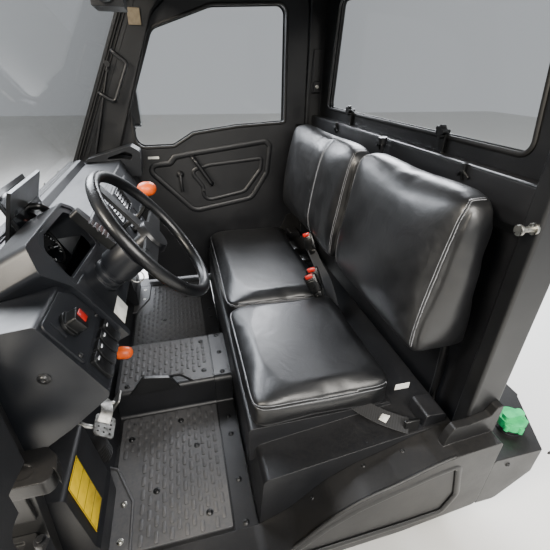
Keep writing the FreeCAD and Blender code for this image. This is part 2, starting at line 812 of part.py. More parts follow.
def dash_body():
    """Dash moulding: shell with a sloping face, open towards the firewall, cut for the gauges and rockers."""
    outer = slab(dash_section(0), "X", -dash_half, dash_half)
    inner = slab(dash_section(dash_wall, 2.0), "X", -dash_half + dash_wall, dash_half - dash_wall)
    shell = outer.cut(inner).cut(column_axis_rod(column_r + 8 + soft_gap, 120, column_length))
    shell = shell.cut(face_slab(pod_mouth(-1.0), -mouth_depth - 10, 30))
    strip = [(switch_left - 4, 0.62, 6), (switch_left - 4, 0.97, 6), (switch_right - 20, 0.97, 6),
             (switch_right - 20, 0.62, 6)]
    shell = shell.cut(face_slab(strip, -2.5, 5))
    for side in (-1, 1):
        x0, x1 = sorted((side * (pillar_in - soft_gap), side * (dash_half + 1)))
        post = screen_y(tray_z) + a_depth + 0.6
        shell = shell.cut(block(x0, x1, dash_front - 1, post, cowl_top, tray_z + 1))
    return shell


def column_axis_rod(r, start, end):
    """Cylinder along the steering axis, between two distances below the wheel's plane."""
    n = wheel_normal()
    a = V(wheel_x, wheel_y, wheel_z) - n * start
    return Part.makeCylinder(r, end - start, a, n * -1)


def wheel_normal():
    """Unit vector out of the steering wheel's face."""
    tilt = math.radians(wheel_tilt)
    return V(0, math.sin(tilt), math.cos(tilt))


def dash_tray():
    """Grab rail at the passenger's end, centre console with its vents, and a rim along the windscreen."""
    low_y, low_z = face_point(0.42, soft_gap)
    rail = slab([(dash_front + 40, tray_z + 0.3), (dash_front + 56, tray_z + 14, 8),
                 (face_top_y + 51, tray_z + 65, 16), (face_top_y + 89, tray_z + 39, 16),
                 (face_top_y + 81, tray_z - 73, 10), (low_y, low_z), (face_top_y, face_top_z + 0.5),
                 (face_top_y - 52, tray_z + 0.3)], "X", 15 - pillar_in, 98 - pillar_in)
    slot = slab([(face_top_y - 77, tray_z + 9, 4), (face_top_y + 27, tray_z + 42, 8),
                 (face_top_y + 57, tray_z + 27, 8), (face_top_y + 43, tray_z + 3, 6),
                 (face_top_y + 5, tray_z + 11, 4)], "X", 7 - pillar_in, 99 - pillar_in)
    top_y, top_z = face_point(0.02, soft_gap)
    foot_y, foot_z = face_point(1.0, soft_gap)
    out_y, out_z = face_point(0.06, console_out)
    knee_y, knee_z = face_point(1.0, console_out)
    centre = slab([(top_y, top_z), (out_y, out_z, 12), (knee_y, knee_z, 26),
                   (face_low_y - 35, face_low_z - 105, 16), (face_low_y - 59, face_low_z - 85),
                   (foot_y + 1, foot_z - 1)], "X", console_right, console_left)
    centre = centre.cut(slab(dash_section(-soft_gap), "X", console_right - 1, console_left + 1))
    for x0, x1 in ((console_right + 18, console_right + 118), (console_left - 118, console_left - 18)):
        vent = [(x0, 0.14, 8), (x1, 0.14, 8), (x1, 0.52, 8), (x0, 0.52, 8)]
        centre = centre.cut(face_slab(vent, console_out - 12, console_out + 1))
    panel = [(console_right + 24, 0.6, 8), (console_left - 24, 0.6, 8), (console_left - 24, 0.86, 8),
             (console_right + 24, 0.86, 8)]
    centre = centre.cut(face_slab(panel, console_out - 3, console_out + 1))
    rise = 10 / (tray_bend - dash_front)
    low = tray_z - 10 + soft_gap
    rim = slab([(dash_front + 10, low + 10 * rise), (dash_front + 10, tray_z + 12, 5),
                (dash_front + 32, tray_z + 14, 5), (dash_front + 44, low + 44 * rise)], "X", 110 - pillar_in,
               200)
    return [rail.cut(slot), centre, rim]


def pod_mouth(inset):
    """Opening of the instrument hood on the dash's face, shrunk by an inset."""
    length = math.hypot(face_low_y - face_top_y, face_low_z - face_top_z)
    i = inset
    s = inset / length
    x = wheel_x
    return [(x + 147 - i, 0.1 - s, 14), (x + 145 - i, -0.3 + s, 18), (x + 104 - i, -0.39 + s, 20),
            (x - 44 + i, -0.37 + s, 20), (x - 76 + i, -0.26 + s, 16), (x - 74 + i, 0.2 - s, 14)]


def instrument_pod():
    """Faceted hood over the instruments; its left flank runs on down the dash as a rib."""
    x = wheel_x
    plan = [(x + 226, -0.22, 12), (x + 192, -0.47, 26), (x - 64, -0.47, 40), (x - 112, -0.3, 36),
            (x - 112, 0.27, 20), (x + 124, 0.17, 30), (x + 128, 1.04, 5), (x + 144, 1.05, 5),
            (x + 166, 0.16, 60)]
    shell = face_slab(plan, -pod_depth, pod_out)
    mouth = face_slab(pod_mouth(0), -mouth_depth, pod_out + 1)
    near = x - 174
    far = x + 286
    under = slab(dash_section(-soft_gap), "X", near, far)
    front = block(near, far, -700, -520, tray_z - 60, 1100)
    roof = slab([(-530, tray_z + 30), (-530, 1060), (-380, 1060), (-452, tray_z + 92),
                 (-486, tray_z + 84)], "X", near, far)
    lip = face_slab(pod_mouth(-12), pod_out - 3, pod_out + 1)
    shell = shell.cut(mouth).cut(under).cut(front).cut(roof).cut(lip)
    return shell


def instrument_face():
    """Gauge panel at the bottom of the hood's opening."""
    return face_slab(pod_mouth(soft_gap), soft_gap - mouth_depth, 8 - mouth_depth)


def switch_plate():
    """Raised plate for the light switch on the dash's face, with its slot."""
    plate = face_slab([(switch_left, 0.04, 12), (switch_left - 4, 0.58, 8), (switch_right + 13, 0.58, 8),
                       (switch_right + 26, 0.2, 30), (switch_right + 58, 0.04, 10)], soft_gap, 4.5)
    left = switch_left - 19
    slot = face_slab([(left, 0.1, 1.5), (left - 6, 0.1, 1.5), (left - 8, 0.3, 1.5), (left - 2, 0.3, 1.5)],
                     1.5, 6)
    return plate.cut(slot)


def rocker_switches():
    """Row of rocker switches in the sunk strip below the plate."""
    solids = []
    for x in rocker_rows:
        key = slab([(-15, -27, 5), (15, -27, 5), (15, 27, 5), (-15, 27, 5)], "Z", 0, 12)
        scoop = Part.makeCylinder(90, 40, V(-20, 0, 97), V(1, 0, 0))
        solids.append(on_face(key.cut(scoop), x, rocker_share, soft_gap - 2.5))
    return solids


def light_switch():
    """Square rotary light switch with its bezel."""
    bezel = Part.makeCylinder(25, 7, V(0, 0, 0))
    knob = slab([(-17, -17, 5), (17, -17, 5), (17, 17, 5), (-17, 17, 5)], "Z", 7, 28)
    knob.rotate(V(0, 0, 0), V(0, 0, 1), 12)
    return on_face(fuse(bezel, knob), switch_left - 58, 0.28, 4.5 + soft_gap)


def steering_column():
    """Column jacket from the firewall to the wheel's hub, with its shroud and pleated boot."""
    jacket = column_axis_rod(column_r - 8, hub_drop, column_length)
    shroud = column_axis_rod(column_r + 14, 70, 128)
    pleats = [column_axis_rod(column_r + grow, 128 + 9 * i, 137 + 9 * i)
              for i, grow in enumerate((8, 3, 8, 3, 8))]
    return fuse(jacket, shroud, *pleats)


def column_switch():
    """Ribbed signal switch standing up from the column behind the wheel."""
    n = wheel_normal()
    up = V(0, -n.z, n.y)
    body = slab([(-15, 0), (-17, 40, 30), (-12, 112, 9), (12, 112, 9), (17, 40, 30), (15, 0)], "Z", -11, 11)
    for i in range(5):
        body = body.cut(block(-18, 18, 24 + 12 * i, 28 + 12 * i, -12, -8))
    body.rotate(V(0, 0, 0), V(1, 0, 0), 180 - wheel_tilt)
    body.translate(V(wheel_x, wheel_y, wheel_z) - n * 88 + up * (column_r + 14.3))
    return body


def ignition_key():
    """Lock barrel and key with its ring."""
    barrel = Part.makeCylinder(14, 10)
    blade = Part.makeBox(2.4, 22, 30, V(-1.2, -11, 10))
    ring = Part.makeTorus(17, 1.6, V(0, -18, 44), V(1, 0, 0))
    return [on_face(fuse(barrel, blade, ring), wheel_x - 52, 0.76, soft_gap)]


def gear_lever():
    """Gear lever with its rounded orange knob."""
    knob = Part.makeSphere(gear_r, V(gear_x, gear_y, gear_z))
    knob = knob.fuse(Part.makeCylinder(gear_r, 20, V(gear_x, gear_y, gear_z - 20)))
    foot = face_point(0.6, 1.0)
    knee = face_point(0.6, 46.0)
    stick = bar([(gear_x, gear_y, gear_z - 18), (gear_x, knee[0] + 10, knee[1] + 50), (gear_x,) + knee,
                 (gear_x,) + foot], 7, 16)
    return fuse(knob, stick)


def hand_brake():
    """Pull handle of the parking brake under the dash."""
    knob = rod((hand_x, hand_y + 34, hand_z), (hand_x, hand_y, hand_z + 8), 19)
    stick = bar([(hand_x, hand_y + 4, hand_z + 7), (hand_x, firewall_y + 60, hand_z + 60),
                 (hand_x, firewall_y + soft_gap, hand_z + 60)], 7, 30)
    return fuse(knob, stick)


def pedal(x, y, z, width, high, arm_top):
    """Pad on an arm that comes down from the bulkhead."""
    pad = slab([(-width / 2, -high / 2, 8), (width / 2, -high / 2, 8), (width / 2, high / 2, 8),
                (-width / 2, high / 2, 8)], "Z", 0, 5)
    pad.rotate(V(0, 0, 0), V(1, 0, 0), 55)
    pad.translate(V(x, y, z))
    arm = bar([(x, y - 2, z), (x, y - 60, z + 20), (x, firewall_y + 50, arm_top),
               (x, firewall_y + soft_gap, arm_top)], 7, 20)
    return fuse(pad, arm)


def brake_pedal():
    """Drilled service brake pedal."""
    body = pedal(brake_x, brake_y, brake_z, 76, 62, 480)
    holes = []
    for i in range(4):
        for j in range(3):
            hole = Part.makeCylinder(4, 12, V(-24 + 16 * i, -16 + 16 * j, -3))
            if abs(-24 + 16 * i) > 10 or abs(-16 + 16 * j) > 10:
                hole.rotate(V(0, 0, 0), V(1, 0, 0), 55)
                hole.translate(V(brake_x, brake_y, brake_z))
                holes.append(hole)
    return body.cut(Part.makeCompound(holes))


def accelerator_pedal():
    """Plain accelerator pedal beside the tunnel."""
    return pedal(gas_x, gas_y, gas_z, 52, 74, 470)


def display_holder():
    """Display on two ball-jointed arms, standing on the dash."""
    plate = block(-105, 105, -4, 4, -72, 72)
    plate.rotate(V(0, 0, 0), V(1, 0, 0), -18)
    plate.translate(V(*display_at))
    x, y, z = display_at
    foot_x = x - 50
    foot_y = y + 40
    arm = bar([(foot_x, foot_y, tray_z + 2), (foot_x, foot_y, tray_z + 40), (x - 20, y + 30, z),
               (x - 20, y, z)], 9, 8)
    foot = Part.makeCylinder(24, 8, V(foot_x, foot_y, tray_z + soft_gap))
    return fuse(plate, arm, foot)


def belt_reels():
    """Retractor covers on the seat base and anchor plates on the rear pillars."""
    reels = []
    for side in (-1, 1):
        x0, x1 = sorted((side * (cushion_out + 18), side * (ledge_out - 8)))
        low = cushion_low + 4.4
        cover = slab([(420, ledge_z), (426, low + 34, 10), (486, low + 30, 12), (492, low - 14)], "X", x0, x1)
        base = slab(base_profile(-soft_gap), "X", -ledge_out, ledge_out)
        reels.append(cover.cut(base))
    anchor = slab([(b_front + 20, anchor_low, 10), (b_front + 66, anchor_low, 10),
                   (b_front + 66, anchor_high, 10), (b_front + 20, anchor_high, 10)], "X", b_in - 6, b_in)
    return reels + both(anchor)


def buckles():
    """Belt buckles lying at the back of the cushions."""
    solids = []
    for x, y, turn in buckle_rows:
        body = slab([(-16, 0, 5), (16, 0, 5), (18, 62, 8), (-18, 62, 8)], "Z", 0, 22)
        body.rotate(V(0, 0, 0), V(0, 0, 1), turn)
        body.translate(V(x, y, cushion_high + soft_gap))
        solids.append(body)
    return solids


def strikers():
    """Latch pins on the rear door pillars."""
    pin = fuse(rod((striker_x, b_front, striker_z), (striker_x, b_front - 34, striker_z), 6),
               rod((striker_x, b_front - 34, striker_z), (striker_x, b_front - 40, striker_z), 11),
               rod((striker_x, b_front, striker_z), (striker_x, b_front - 6, striker_z), 12))
    return both(pin)


def grab_handles():
    """D handles of bent rod on the inner faces of the front posts."""
    near = pillar_in - soft_gap
    far = near - handle_set
    points = [(near,) + handle_rows[0]] + [(far, y, z) for y, z in handle_rows] + [(near,) + handle_rows[-1]]
    rods = bar(points, handle_r, 14)
    return both(rods)


def screen_stays():
    """Gas stays and latch knobs at the sides of the windscreen."""
    x = pillar_in - 8
    stay = rod((x, -525, tray_z + 1), (x, -403, 1262), 5)
    cup = rod((x, -511.3, 942), (x, -460.2, 1092), 7)
    eye = rod((x - 8, -403, 1262), (pillar_in - soft_gap, -403, 1262), 8)
    arm = rod((x - 5, -403, 1262), (x - 5, -398, 1284), 5)
    knob = rod((x - 18, -397, 1286), (pillar_in - soft_gap, -397, 1286), 12)
    return both(fuse(stay, cup, eye, arm, knob))


def wiper_motor():
    """Wiper motor under the front header with its bracket."""
    low = rail_low - 190
    high = rail_low - 120
    y = screen_y(low + 40) + 40
    box = block(-10, 96, y, y + 74, low, high)
    stay = block(20, 66, y + 64, y + 70, high, rail_low - soft_gap)
    can = rod((96, y + 36, low + 32), (150, y + 36, low + 32), 26)
    return fuse(box, stay, can)


def door_edge(inset, low):
    """Door seen from the side; inset draws every edge inwards, low lifts the bottom edge."""
    i = inset
    lean = math.tan(math.radians(screen_lean))
    top_y = screen_y(door_high) + 22
    bend = door_high - 110
    return [(door_notch_y + i, 184 + low), (door_notch_y + i, door_notch_z + i, 20),
            (door_front + i, door_notch_z + i, 14), (door_front + i, door_post_z, 60),
            (door_front + i + (bend - door_post_z) * lean - 60, bend - i, 150),
            (top_y + 150 + i, door_high - i, 60), (door_rear - 60, door_high - i, 40),
            (door_rear - i, door_high - 50 - i, 40), (door_rear - i, 552 + low, 30), (430, 512 + low, 40),
            (396, 436 + low, 40), (302, 388 + low, 120), (146, 322 + low, 90), (46, 232 + low, 90),
            (-30, 184 + low, 80)]


def window_edge(grow):
    """Door window seen from the side."""
    g = grow
    return [(-341 - g, 930 - g, 50), (-341 - g, 1110, 60), (-205, 1425 + g, 60), (60, 1518 + g, 120),
            (405 + g, 1538 + g, 40), (405 + g, 1036 - g, 14), (163, 1022 - g, 60), (-60, 992 - g, 40),
            (-160, 934 - g, 40)]


def door_shell():
    """Left door, closed: outer panel over the pillars, inner moulding, window opening, latch notch."""
    outer = slab(door_edge(0, 0), "X", door_mid, door_out)
    inner = slab(door_edge(door_inset, 22), "X", door_in, door_mid)
    shell = outer.fuse(inner).removeSplitter()
    window = slab(window_edge(0), "X", door_in - 1, door_out + 1)
    rebate = slab(window_edge(9), "X", door_mid + 4, door_mid + 4 + glass_thick)
    notch = block(door_in - 1, striker_x + 18, b_front - 46, door_rear, striker_z - 20, striker_z + 20)
    recess = slab([(-350, 843, 30), (-190, 854, 20), (-163, 885, 16), (-88, 897, 20), (305, 949, 20),
                   (327, 924, 12), (311, 784, 30), (226, 650, 60), (-90, 597, 60), (-271, 795, 30)], "X",
                  door_in - 1, door_in + 4)
    return shell.cut(window).cut(rebate).cut(notch).cut(recess)


def door_hinges():
    """Door halves of the two hinges: knuckles round the fixed pins, leaves on the door."""
    solids = []
    for z in hinge_z:
        barrel = Part.makeCylinder(knuckle_r, knuckle_high, V(hinge_x, hinge_y, z))
        leaf = block(door_out, door_out + 6, hinge_y, leaf_end, z, z + knuckle_high)
        web = block(door_out, hinge_x + 2, hinge_y - 3, hinge_y + 3, z, z + knuckle_high)
        bore = Part.makeCylinder(hinge_pin_r + hinge_play, knuckle_high + 2, V(hinge_x, hinge_y, z - 1))
        solids.append(fuse(barrel, leaf, web).cut(bore))
    return solids


def pillar_hinges():
    """Fixed halves of the hinges: cast straps on the front posts, with their pins."""
    solids = []
    for z in hinge_z:
        low = z - knuckle_high - hinge_gap
        top = z - hinge_gap
        barrel = Part.makeCylinder(knuckle_r, knuckle_high, V(hinge_x, hinge_y, low))
        strap = slab([(pillar_out + soft_gap, hinge_y - 130, 8), (hinge_x - 6, hinge_y - 130, 14),
                      (hinge_x + knuckle_r, hinge_y - 60, 14), (hinge_x + knuckle_r, hinge_y),
                      (hinge_x - knuckle_r, hinge_y), (hinge_x - 30, hinge_y - 30, 8),
                      (pillar_out + soft_gap, hinge_y - 26, 6)], "Z", low, top)
        pocket = slab([(pillar_out + 14, hinge_y - 112, 6), (hinge_x - 12, hinge_y - 104, 6),
                       (hinge_x - 2, hinge_y - 52, 6), (pillar_out + 14, hinge_y - 44, 6)],
                      "Z", top - 8, top + 1)
        pin = Part.makeCylinder(hinge_pin_r, knuckle_high * 2 + 6, V(hinge_x, hinge_y, low))
        solids.append(fuse(barrel, strap.cut(pocket), pin))
    return [s for solid in solids for s in both(solid)]


def door_trim():
    """Pull bar and latch lever on the inner panel."""
    face = door_in + 4
    grip = bar([(face - 0.3, -69, 872), (face - 40, -69, 872), (face - 40, 10, 745),
                (face - 0.3, 10, 745)], 11, 16)
    lever = slab([(-153, 706, 7), (-139, 706, 7), (-137, 796, 7), (-155, 796, 7)], "X", face - 12, face - 0.3)
    boss = rod((face - 0.3, -146, 780), (face - 16, -146, 780), 12)
    return [grip, fuse(lever, boss)]


def door_glass():
    """Fixed window pane."""
    return slab(window_edge(8.7), "X", door_mid + 4, door_mid + 4 + glass_thick)


def door_mirror():
    """Mirror head on a bent arm from the door's front corner."""
    arm = bar([(door_out, -400, 960), (door_out + 40, -400, 960), (door_out + 82, -340, 1010),
               (door_out + 90, -322, 1110)], 8, 24)
    foot = block(door_out, door_out + 6, -424, -376, 930, 990)
    head = slab([(door_out + 37, 1010, 24), (door_out + 167, 1016, 24), (door_out + 162, 1210, 30),
                 (door_out + 44, 1204, 30)], "Y", -345, -310)
    return fuse(arm, foot, head)


def opened(shapes):
    """Left door's pieces, turned open about the hinge pins."""
    solids = shapes if isinstance(shapes, list) else [shapes]
    turned = []
    for solid in solids:
        copy = solid.copy()
        copy.rotate(V(hinge_x, hinge_y, 0), V(0, 0, 1), -door_open)
        turned.append(copy)
    return turned


def closed_right(shapes):
    """Right door's pieces, closed."""
    solids = shapes if isinstance(shapes, list) else [shapes]
    return [mirrored(s) for s in solids]


def steering_rim():
    """Rim and three flat spokes."""
    rim = Part.makeTorus(wheel_radius - rim_r, rim_r)
    spokes = []
    for angle in (0, 180, 270):
        reach = wheel_radius - rim_r
        spoke = slab([(20, -20, 6), (reach, -16, 4), (reach, 16, 4), (20, 20, 6)], "Z", -12, -4)
        spoke.rotate(V(0, 0, 0), V(0, 0, 1), angle)
        spokes.append(spoke)
    seat = Part.makeCone(hub_r + 0.3, hub_r - 7.7, 18, V(0, 0, -14))
    return on_wheel(fuse(rim, *spokes).cut(seat))


def steering_hub():
    """Hub cover and boss over the column's end."""
    cover = Part.makeCone(hub_r, hub_r - 8, 18, V(0, 0, -14))
    boss = Part.makeCylinder(column_r - 8, hub_drop - 14 - hub_play, V(0, 0, hub_play - hub_drop))
    return on_wheel(fuse(cover, boss))


def on_wheel(shape):
    """Put a shape drawn on XY into the steering wheel's plane."""
    copy = shape.copy()
    copy.rotate(V(0, 0, 0), V(1, 0, 0), -wheel_tilt)
    copy.translate(V(wheel_x, wheel_y, wheel_z))
    return copy


save("floor_frame", floor_frame())
save("floor_pan", floor_pan())
save("firewall", firewall())
save("floor_mats", floor_mats())
save("threshold_strip", threshold_strip())
save("kick_panels", kick_panels())
save("kick_plate", kick_plate())
save("side_panels", both(side_panel()))
save("front_wings", both(front_wing()))
save("rear_corners", [rear_corner(1), rear_corner(-1)])
save("filler_neck", filler_neck())
save("filler_cap", filler_cap())
save("seat_base", seat_base())
save("seat_frame", seat_frame())
save("driver_cushion", cushion(driver_edge, cushion_out))
save("passenger_cushion", cushion(-cushion_out, guest_edge))
save("driver_back", back(driver_back_edge, back_out))
save("passenger_back", back(-back_out, guest_back_edge))
save("belt_reels", belt_reels())
save("belt_buckles", buckles())
save("front_pillars", both(a_pillar()))
save("rear_pillars", both(b_pillar()))
save("roof_rails", roof_rails())
save("roof_panel", roof_panel())
save("windscreen", windscreen())
save("cowl", cowl())
save("rear_wall", rear_wall())
save("rear_window_frame", rear_window_frame())
save("rear_window", rear_window())
save("window_knobs", window_knobs())
save("dash_body", dash_body())
save("dash_tray", dash_tray())
save("instrument_pod", instrument_pod())
save("instrument_face", instrument_face())
save("switch_plate", switch_plate())
save("rocker_switches", rocker_switches())
save("light_switch", light_switch())
save("steering_column", steering_column())
save("column_switch", column_switch())
save("ignition_key", ignition_key())
save("gear_lever", gear_lever())
save("hand_brake", hand_brake())
save("brake_pedal", brake_pedal())
save("accelerator_pedal", accelerator_pedal())
save("display_holder", display_holder())
save("strikers", strikers())
save("grab_handles", grab_handles())
save("screen_stays", screen_stays())
save("wiper_motor", wiper_motor())
save("pillar_hinges", pillar_hinges())
save("steering_rim", steering_rim())
save("steering_hub", steering_hub())
save("door_left", opened(door_shell()))
save("door_left_trim", opened(door_trim() + door_hinges()))
save("door_left_glass", opened(door_glass()))
save("door_left_mirror", opened(door_mirror()))
save("door_right", closed_right([door_shell()]))
save("door_right_trim", closed_right(door_trim() + door_hinges()))
save("door_right_glass", closed_right([door_glass()]))
save("door_right_mirror", closed_right([door_mirror()]))
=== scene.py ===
import bmesh
import bpy
import math
from mathutils import Matrix, Vector
from mathutils.bvhtree import BVHTree


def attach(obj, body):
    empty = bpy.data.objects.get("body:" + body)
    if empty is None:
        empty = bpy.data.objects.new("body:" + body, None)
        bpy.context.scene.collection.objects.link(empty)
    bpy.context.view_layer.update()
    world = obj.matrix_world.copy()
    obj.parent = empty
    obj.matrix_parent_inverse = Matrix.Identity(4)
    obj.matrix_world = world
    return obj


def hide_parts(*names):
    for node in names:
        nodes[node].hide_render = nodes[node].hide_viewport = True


# Cab of a side by side utility vehicle: finishes, upholstery and small trim round the solid parts.
# Sizes are in millimetres, and at() and mm turn them into metres. Front is -Y, left is +X.

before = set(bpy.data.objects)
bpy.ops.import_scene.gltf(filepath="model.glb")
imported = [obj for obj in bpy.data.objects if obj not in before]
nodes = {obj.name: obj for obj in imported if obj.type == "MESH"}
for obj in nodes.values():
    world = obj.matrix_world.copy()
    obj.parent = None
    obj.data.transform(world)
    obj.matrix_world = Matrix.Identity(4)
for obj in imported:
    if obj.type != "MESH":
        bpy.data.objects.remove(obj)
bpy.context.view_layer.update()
mm = 0.001
leftward = Vector((1, 0, 0))
rearward = Vector((0, 1, 0))
upward = Vector((0, 0, 1))
print("frame loaded:", len(nodes), "nodes")


def at(x, y, z):
    return Vector((x, y, z)) * mm


def linked(name, data):
    item = bpy.data.objects.new(name, data)
    bpy.context.scene.collection.objects.link(item)
    return item


# Camera: the photographer stands at the open left door and looks down into the cab
cameraView = {"place": (1252.2, -150.0, 1268.9), "forward": (-0.84582, 0.22215, -0.48502),
              "up": (-0.47316, 0.10753, 0.87439), "lens": 24.077, "sensor": 36.0}


def makeCamera(view):
    forward = Vector(view["forward"]).normalized()
    side = forward.cross(Vector(view["up"])).normalized()
    turn = Matrix((side, side.cross(forward), -forward)).transposed()
    data = bpy.data.cameras.new("camera")
    data.lens = view["lens"]
    data.sensor_width = view["sensor"]
    data.clip_start = 0.01
    camera = linked("camera", data)
    camera.matrix_world = Matrix.Translation(at(*view["place"])) @ turn.to_4x4()
    bpy.context.scene.camera = camera


makeCamera(cameraView)


# Materials

def hexColour(text):
    parts = [int(text[i:i + 2], 16) / 255 for i in (1, 3, 5)]
    return tuple(p / 12.92 if p <= 0.04045 else ((p + 0.055) / 1.055) ** 2.4 for p in parts) + (1.0,)


def addNode(material, kind, settings=None, links=(), output=0):
    node = material.node_tree.nodes.new("ShaderNode" + kind)
    for key, value in (settings or {}).items():
        if isinstance(key, int) or key in node.inputs:
            node.inputs[key].default_value = value
        else:
            setattr(node, key, value)
    for socket, name in links:
        material.node_tree.links.new(socket, node.inputs[name])
    return node.outputs[output] if len(node.outputs) else None


def newMaterial(name):
    material = bpy.data.materials.new(name)
    material.use_nodes = True
    material.node_tree.nodes.clear()
    return material


def perMetre(sizeMm):
    return 1000.0 / sizeMm


def between(low, high, start=0.0, end=1.0):
    return {"From Min": low, "From Max": high, "To Min": start, "To Max": end}


def blend(first, second):
    return {"data_type": "RGBA", 6: hexColour(first), 7: hexColour(second)}


def toned(material, pattern, limits, fresh, worn):
    share = addNode(material, "MapRange", between(*limits), [(pattern, 0)])
    return addNode(material, "Mix", blend(fresh, worn), [(share, 0)], 2)


def closeSurface(material, settings, colours, heights=(), edge=0.0):
    normal = []
    if edge > 0:
        normal = [(addNode(material, "Bevel", {"samples": 4, "Radius": edge * mm}), "Normal")]
    for height, depth in heights:
        links = normal + [(height, "Height")]
        normal = [(addNode(material, "Bump", {"Distance": depth * mm, "Strength": 1.0}, links), "Normal")]
    shader = addNode(material, "BsdfPrincipled", settings, colours + normal)
    addNode(material, "OutputMaterial", {}, [(shader, "Surface")])
    return material


# Moulded plastics and rubbers: sRGB of the fresh and of the scuffed skin, roughness, mm between grain peaks
# (coarser than real, so that they show), mm of grain depth, share of pale dust on top, mm of rounded edge
mouldings = {
    "polypropyleneStippled": ("#121316", "#1c1d20", 0.42, 2.2, 0.08, 0.02, 2.5),  # floor: near black
    "absDashGrained": ("#17191d", "#202327", 0.36, 1.8, 0.06, 0.01, 2.0),  # dash: cool black, a sheen on top
    "polyethyleneSatin": ("#151516", "#1f1e1e", 0.38, 3.4, 0.05, 0.02, 4.0),  # outer panels: satin black
    "absDoorGrained": ("#131417", "#1b1c1f", 0.4, 2.0, 0.07, 0.01, 3.0),  # door moulding: fine matt grain
    "nylonBlack": ("#090a0b", "#131416", 0.3, 1.4, 0.03, 0.01, 0.8),  # switches and knobs: smooth black
    "roofPolyethylene": ("#131416", "#1c1d1f", 0.42, 3.0, 0.09, 0.10, 5.0),  # roof skin: dull, dusty on top
    "nitrileMat": ("#3b3c3f", "#4b4b4d", 0.5, 4.0, 0.05, 0.10, 0.8),  # studded floor mat: worn grey rubber
    "epdmSeal": ("#0b0b0c", "#161617", 0.55, 3.0, 0.05, 0.02, 0.4),  # extruded seals: dull deep black
    "foamedPolyurethane": ("#0c0d0f", "#16171a", 0.3, 2.0, 0.10, 0.02, 0.6),  # wheel rim: a soft shine
}
roadDust = "#8d8578"


def moulded(name, colour, worn, rough, grain, depth, dust, edge):
    material = newMaterial(name)
    place = [(addNode(material, "TexCoord", output="Object"), "Vector")]
    patch = addNode(material, "TexNoise", {"Scale": perMetre(180), "Detail": 6.0, "Roughness": 0.62}, place)
    peaks = addNode(material, "TexVoronoi", {"Scale": perMetre(grain), "Randomness": 1.0}, place)
    flow = addNode(material, "TexNoise", {"Scale": perMetre(9), "Detail": 4.0}, place)
    skin = toned(material, patch, (0.48, 0.75, 0.0, 0.7), colour, worn)
    facing = addNode(material, "NewGeometry", output="Normal")
    rise = addNode(material, "SeparateXYZ", {}, [(facing, 0)], 2)
    lying = addNode(material, "MapRange", between(0.35, 1.0, 0.0, dust), [(rise, 0)])
    loose = addNode(material, "MapRange", between(0.3, 0.7), [(flow, 0)])
    settled = addNode(material, "Math", {"operation": "MULTIPLY"}, [(lying, 0), (loose, 1)])
    dusty = addNode(material, "Mix", blend(roadDust, roadDust), [(settled, 0), (skin, 6)], 2)
    gloss = addNode(material, "MapRange", between(0.3, 0.75, rough - 0.06, rough + 0.12), [(patch, 0)])
    return closeSurface(material, {"IOR": 1.49, "Specular IOR Level": 0.5},
                        [(dusty, "Base Color"), (gloss, "Roughness")], [(peaks, depth), (flow, 0.12)], edge)


# Metals: bright zinc is plated and passivated, the drilled pad is sheared plate worn by soles.
# sRGB of the bright and of the dulled skin, roughness, mm between streaks, mm of rounded edge
metals = {
    "zincPlatedSteel": ("#b4b3ac", "#8b8a84", 0.3, 6.0, 0.5),
    "drilledSteelPlate": ("#a4a39f", "#6f6e6a", 0.38, 3.0, 0.6),
}


def plated(name, colour, worn, rough, streak, edge):
    material = newMaterial(name)
    place = [(addNode(material, "TexCoord", output="Object"), "Vector")]
    patch = addNode(material, "TexNoise", {"Scale": perMetre(14), "Detail": 6.0}, place)
    lines = addNode(material, "TexNoise", {"Scale": perMetre(streak), "Detail": 3.0}, place)
    skin = toned(material, patch, (0.45, 0.72), colour, worn)
    gloss = addNode(material, "MapRange", between(0.3, 0.7, rough - 0.08, rough + 0.14), [(lines, 0)])
    return closeSurface(material, {"Metallic": 1.0}, [(skin, "Base Color"), (gloss, "Roughness")],
                        [(lines, 0.03)], edge)


def powderCoatedSteel():
    material = newMaterial("powderCoatedSteel")  # baked on tubes and frames: satin black, slight orange peel
    place = [(addNode(material, "TexCoord", output="Object"), "Vector")]
    peel = addNode(material, "TexNoise", {"Scale": perMetre(2.6), "Detail": 2.0}, place)
    patch = addNode(material, "TexNoise", {"Scale": perMetre(120), "Detail": 6.0}, place)
    skin = toned(material, patch, (0.5, 0.8), "#0d0e10", "#17181a")
    gloss = addNode(material, "MapRange", between(0.3, 0.7, 0.31, 0.46), [(patch, 0)])
    return closeSurface(material, {"Specular IOR Level": 0.5}, [(skin, "Base Color"), (gloss, "Roughness")],
                        [(peel, 0.05)], 2.0)


def expandedVinyl():
    material = newMaterial("expandedVinyl")  # embossed leathercloth: black, pebbled, a broad soft shine
    place = [(addNode(material, "TexCoord", output="Object"), "Vector")]
    pebble = addNode(material, "TexVoronoi", {"Scale": perMetre(2.6), "feature": "SMOOTH_F1"}, place)
    fine = addNode(material, "TexNoise", {"Scale": perMetre(5), "Detail": 5.0}, place)
    crease = addNode(material, "TexNoise", {"Scale": perMetre(70), "Detail": 3.0, "Distortion": 1.4}, place)
    patch = addNode(material, "TexNoise", {"Scale": perMetre(150), "Detail": 7.0, "Roughness": 0.65}, place)
    skin = toned(material, patch, (0.46, 0.72), "#0d0e10", "#191a1c")
    gloss = addNode(material, "MapRange", between(0.3, 0.72, 0.3, 0.46), [(patch, 0)])
    surface = {"IOR": 1.5, "Specular IOR Level": 0.62, "Coat Weight": 0.12, "Coat Roughness": 0.28}
    return closeSurface(material, surface, [(skin, "Base Color"), (gloss, "Roughness")],
                        [(crease, 1.1), (fine, 0.06), (pebble, 0.04)])


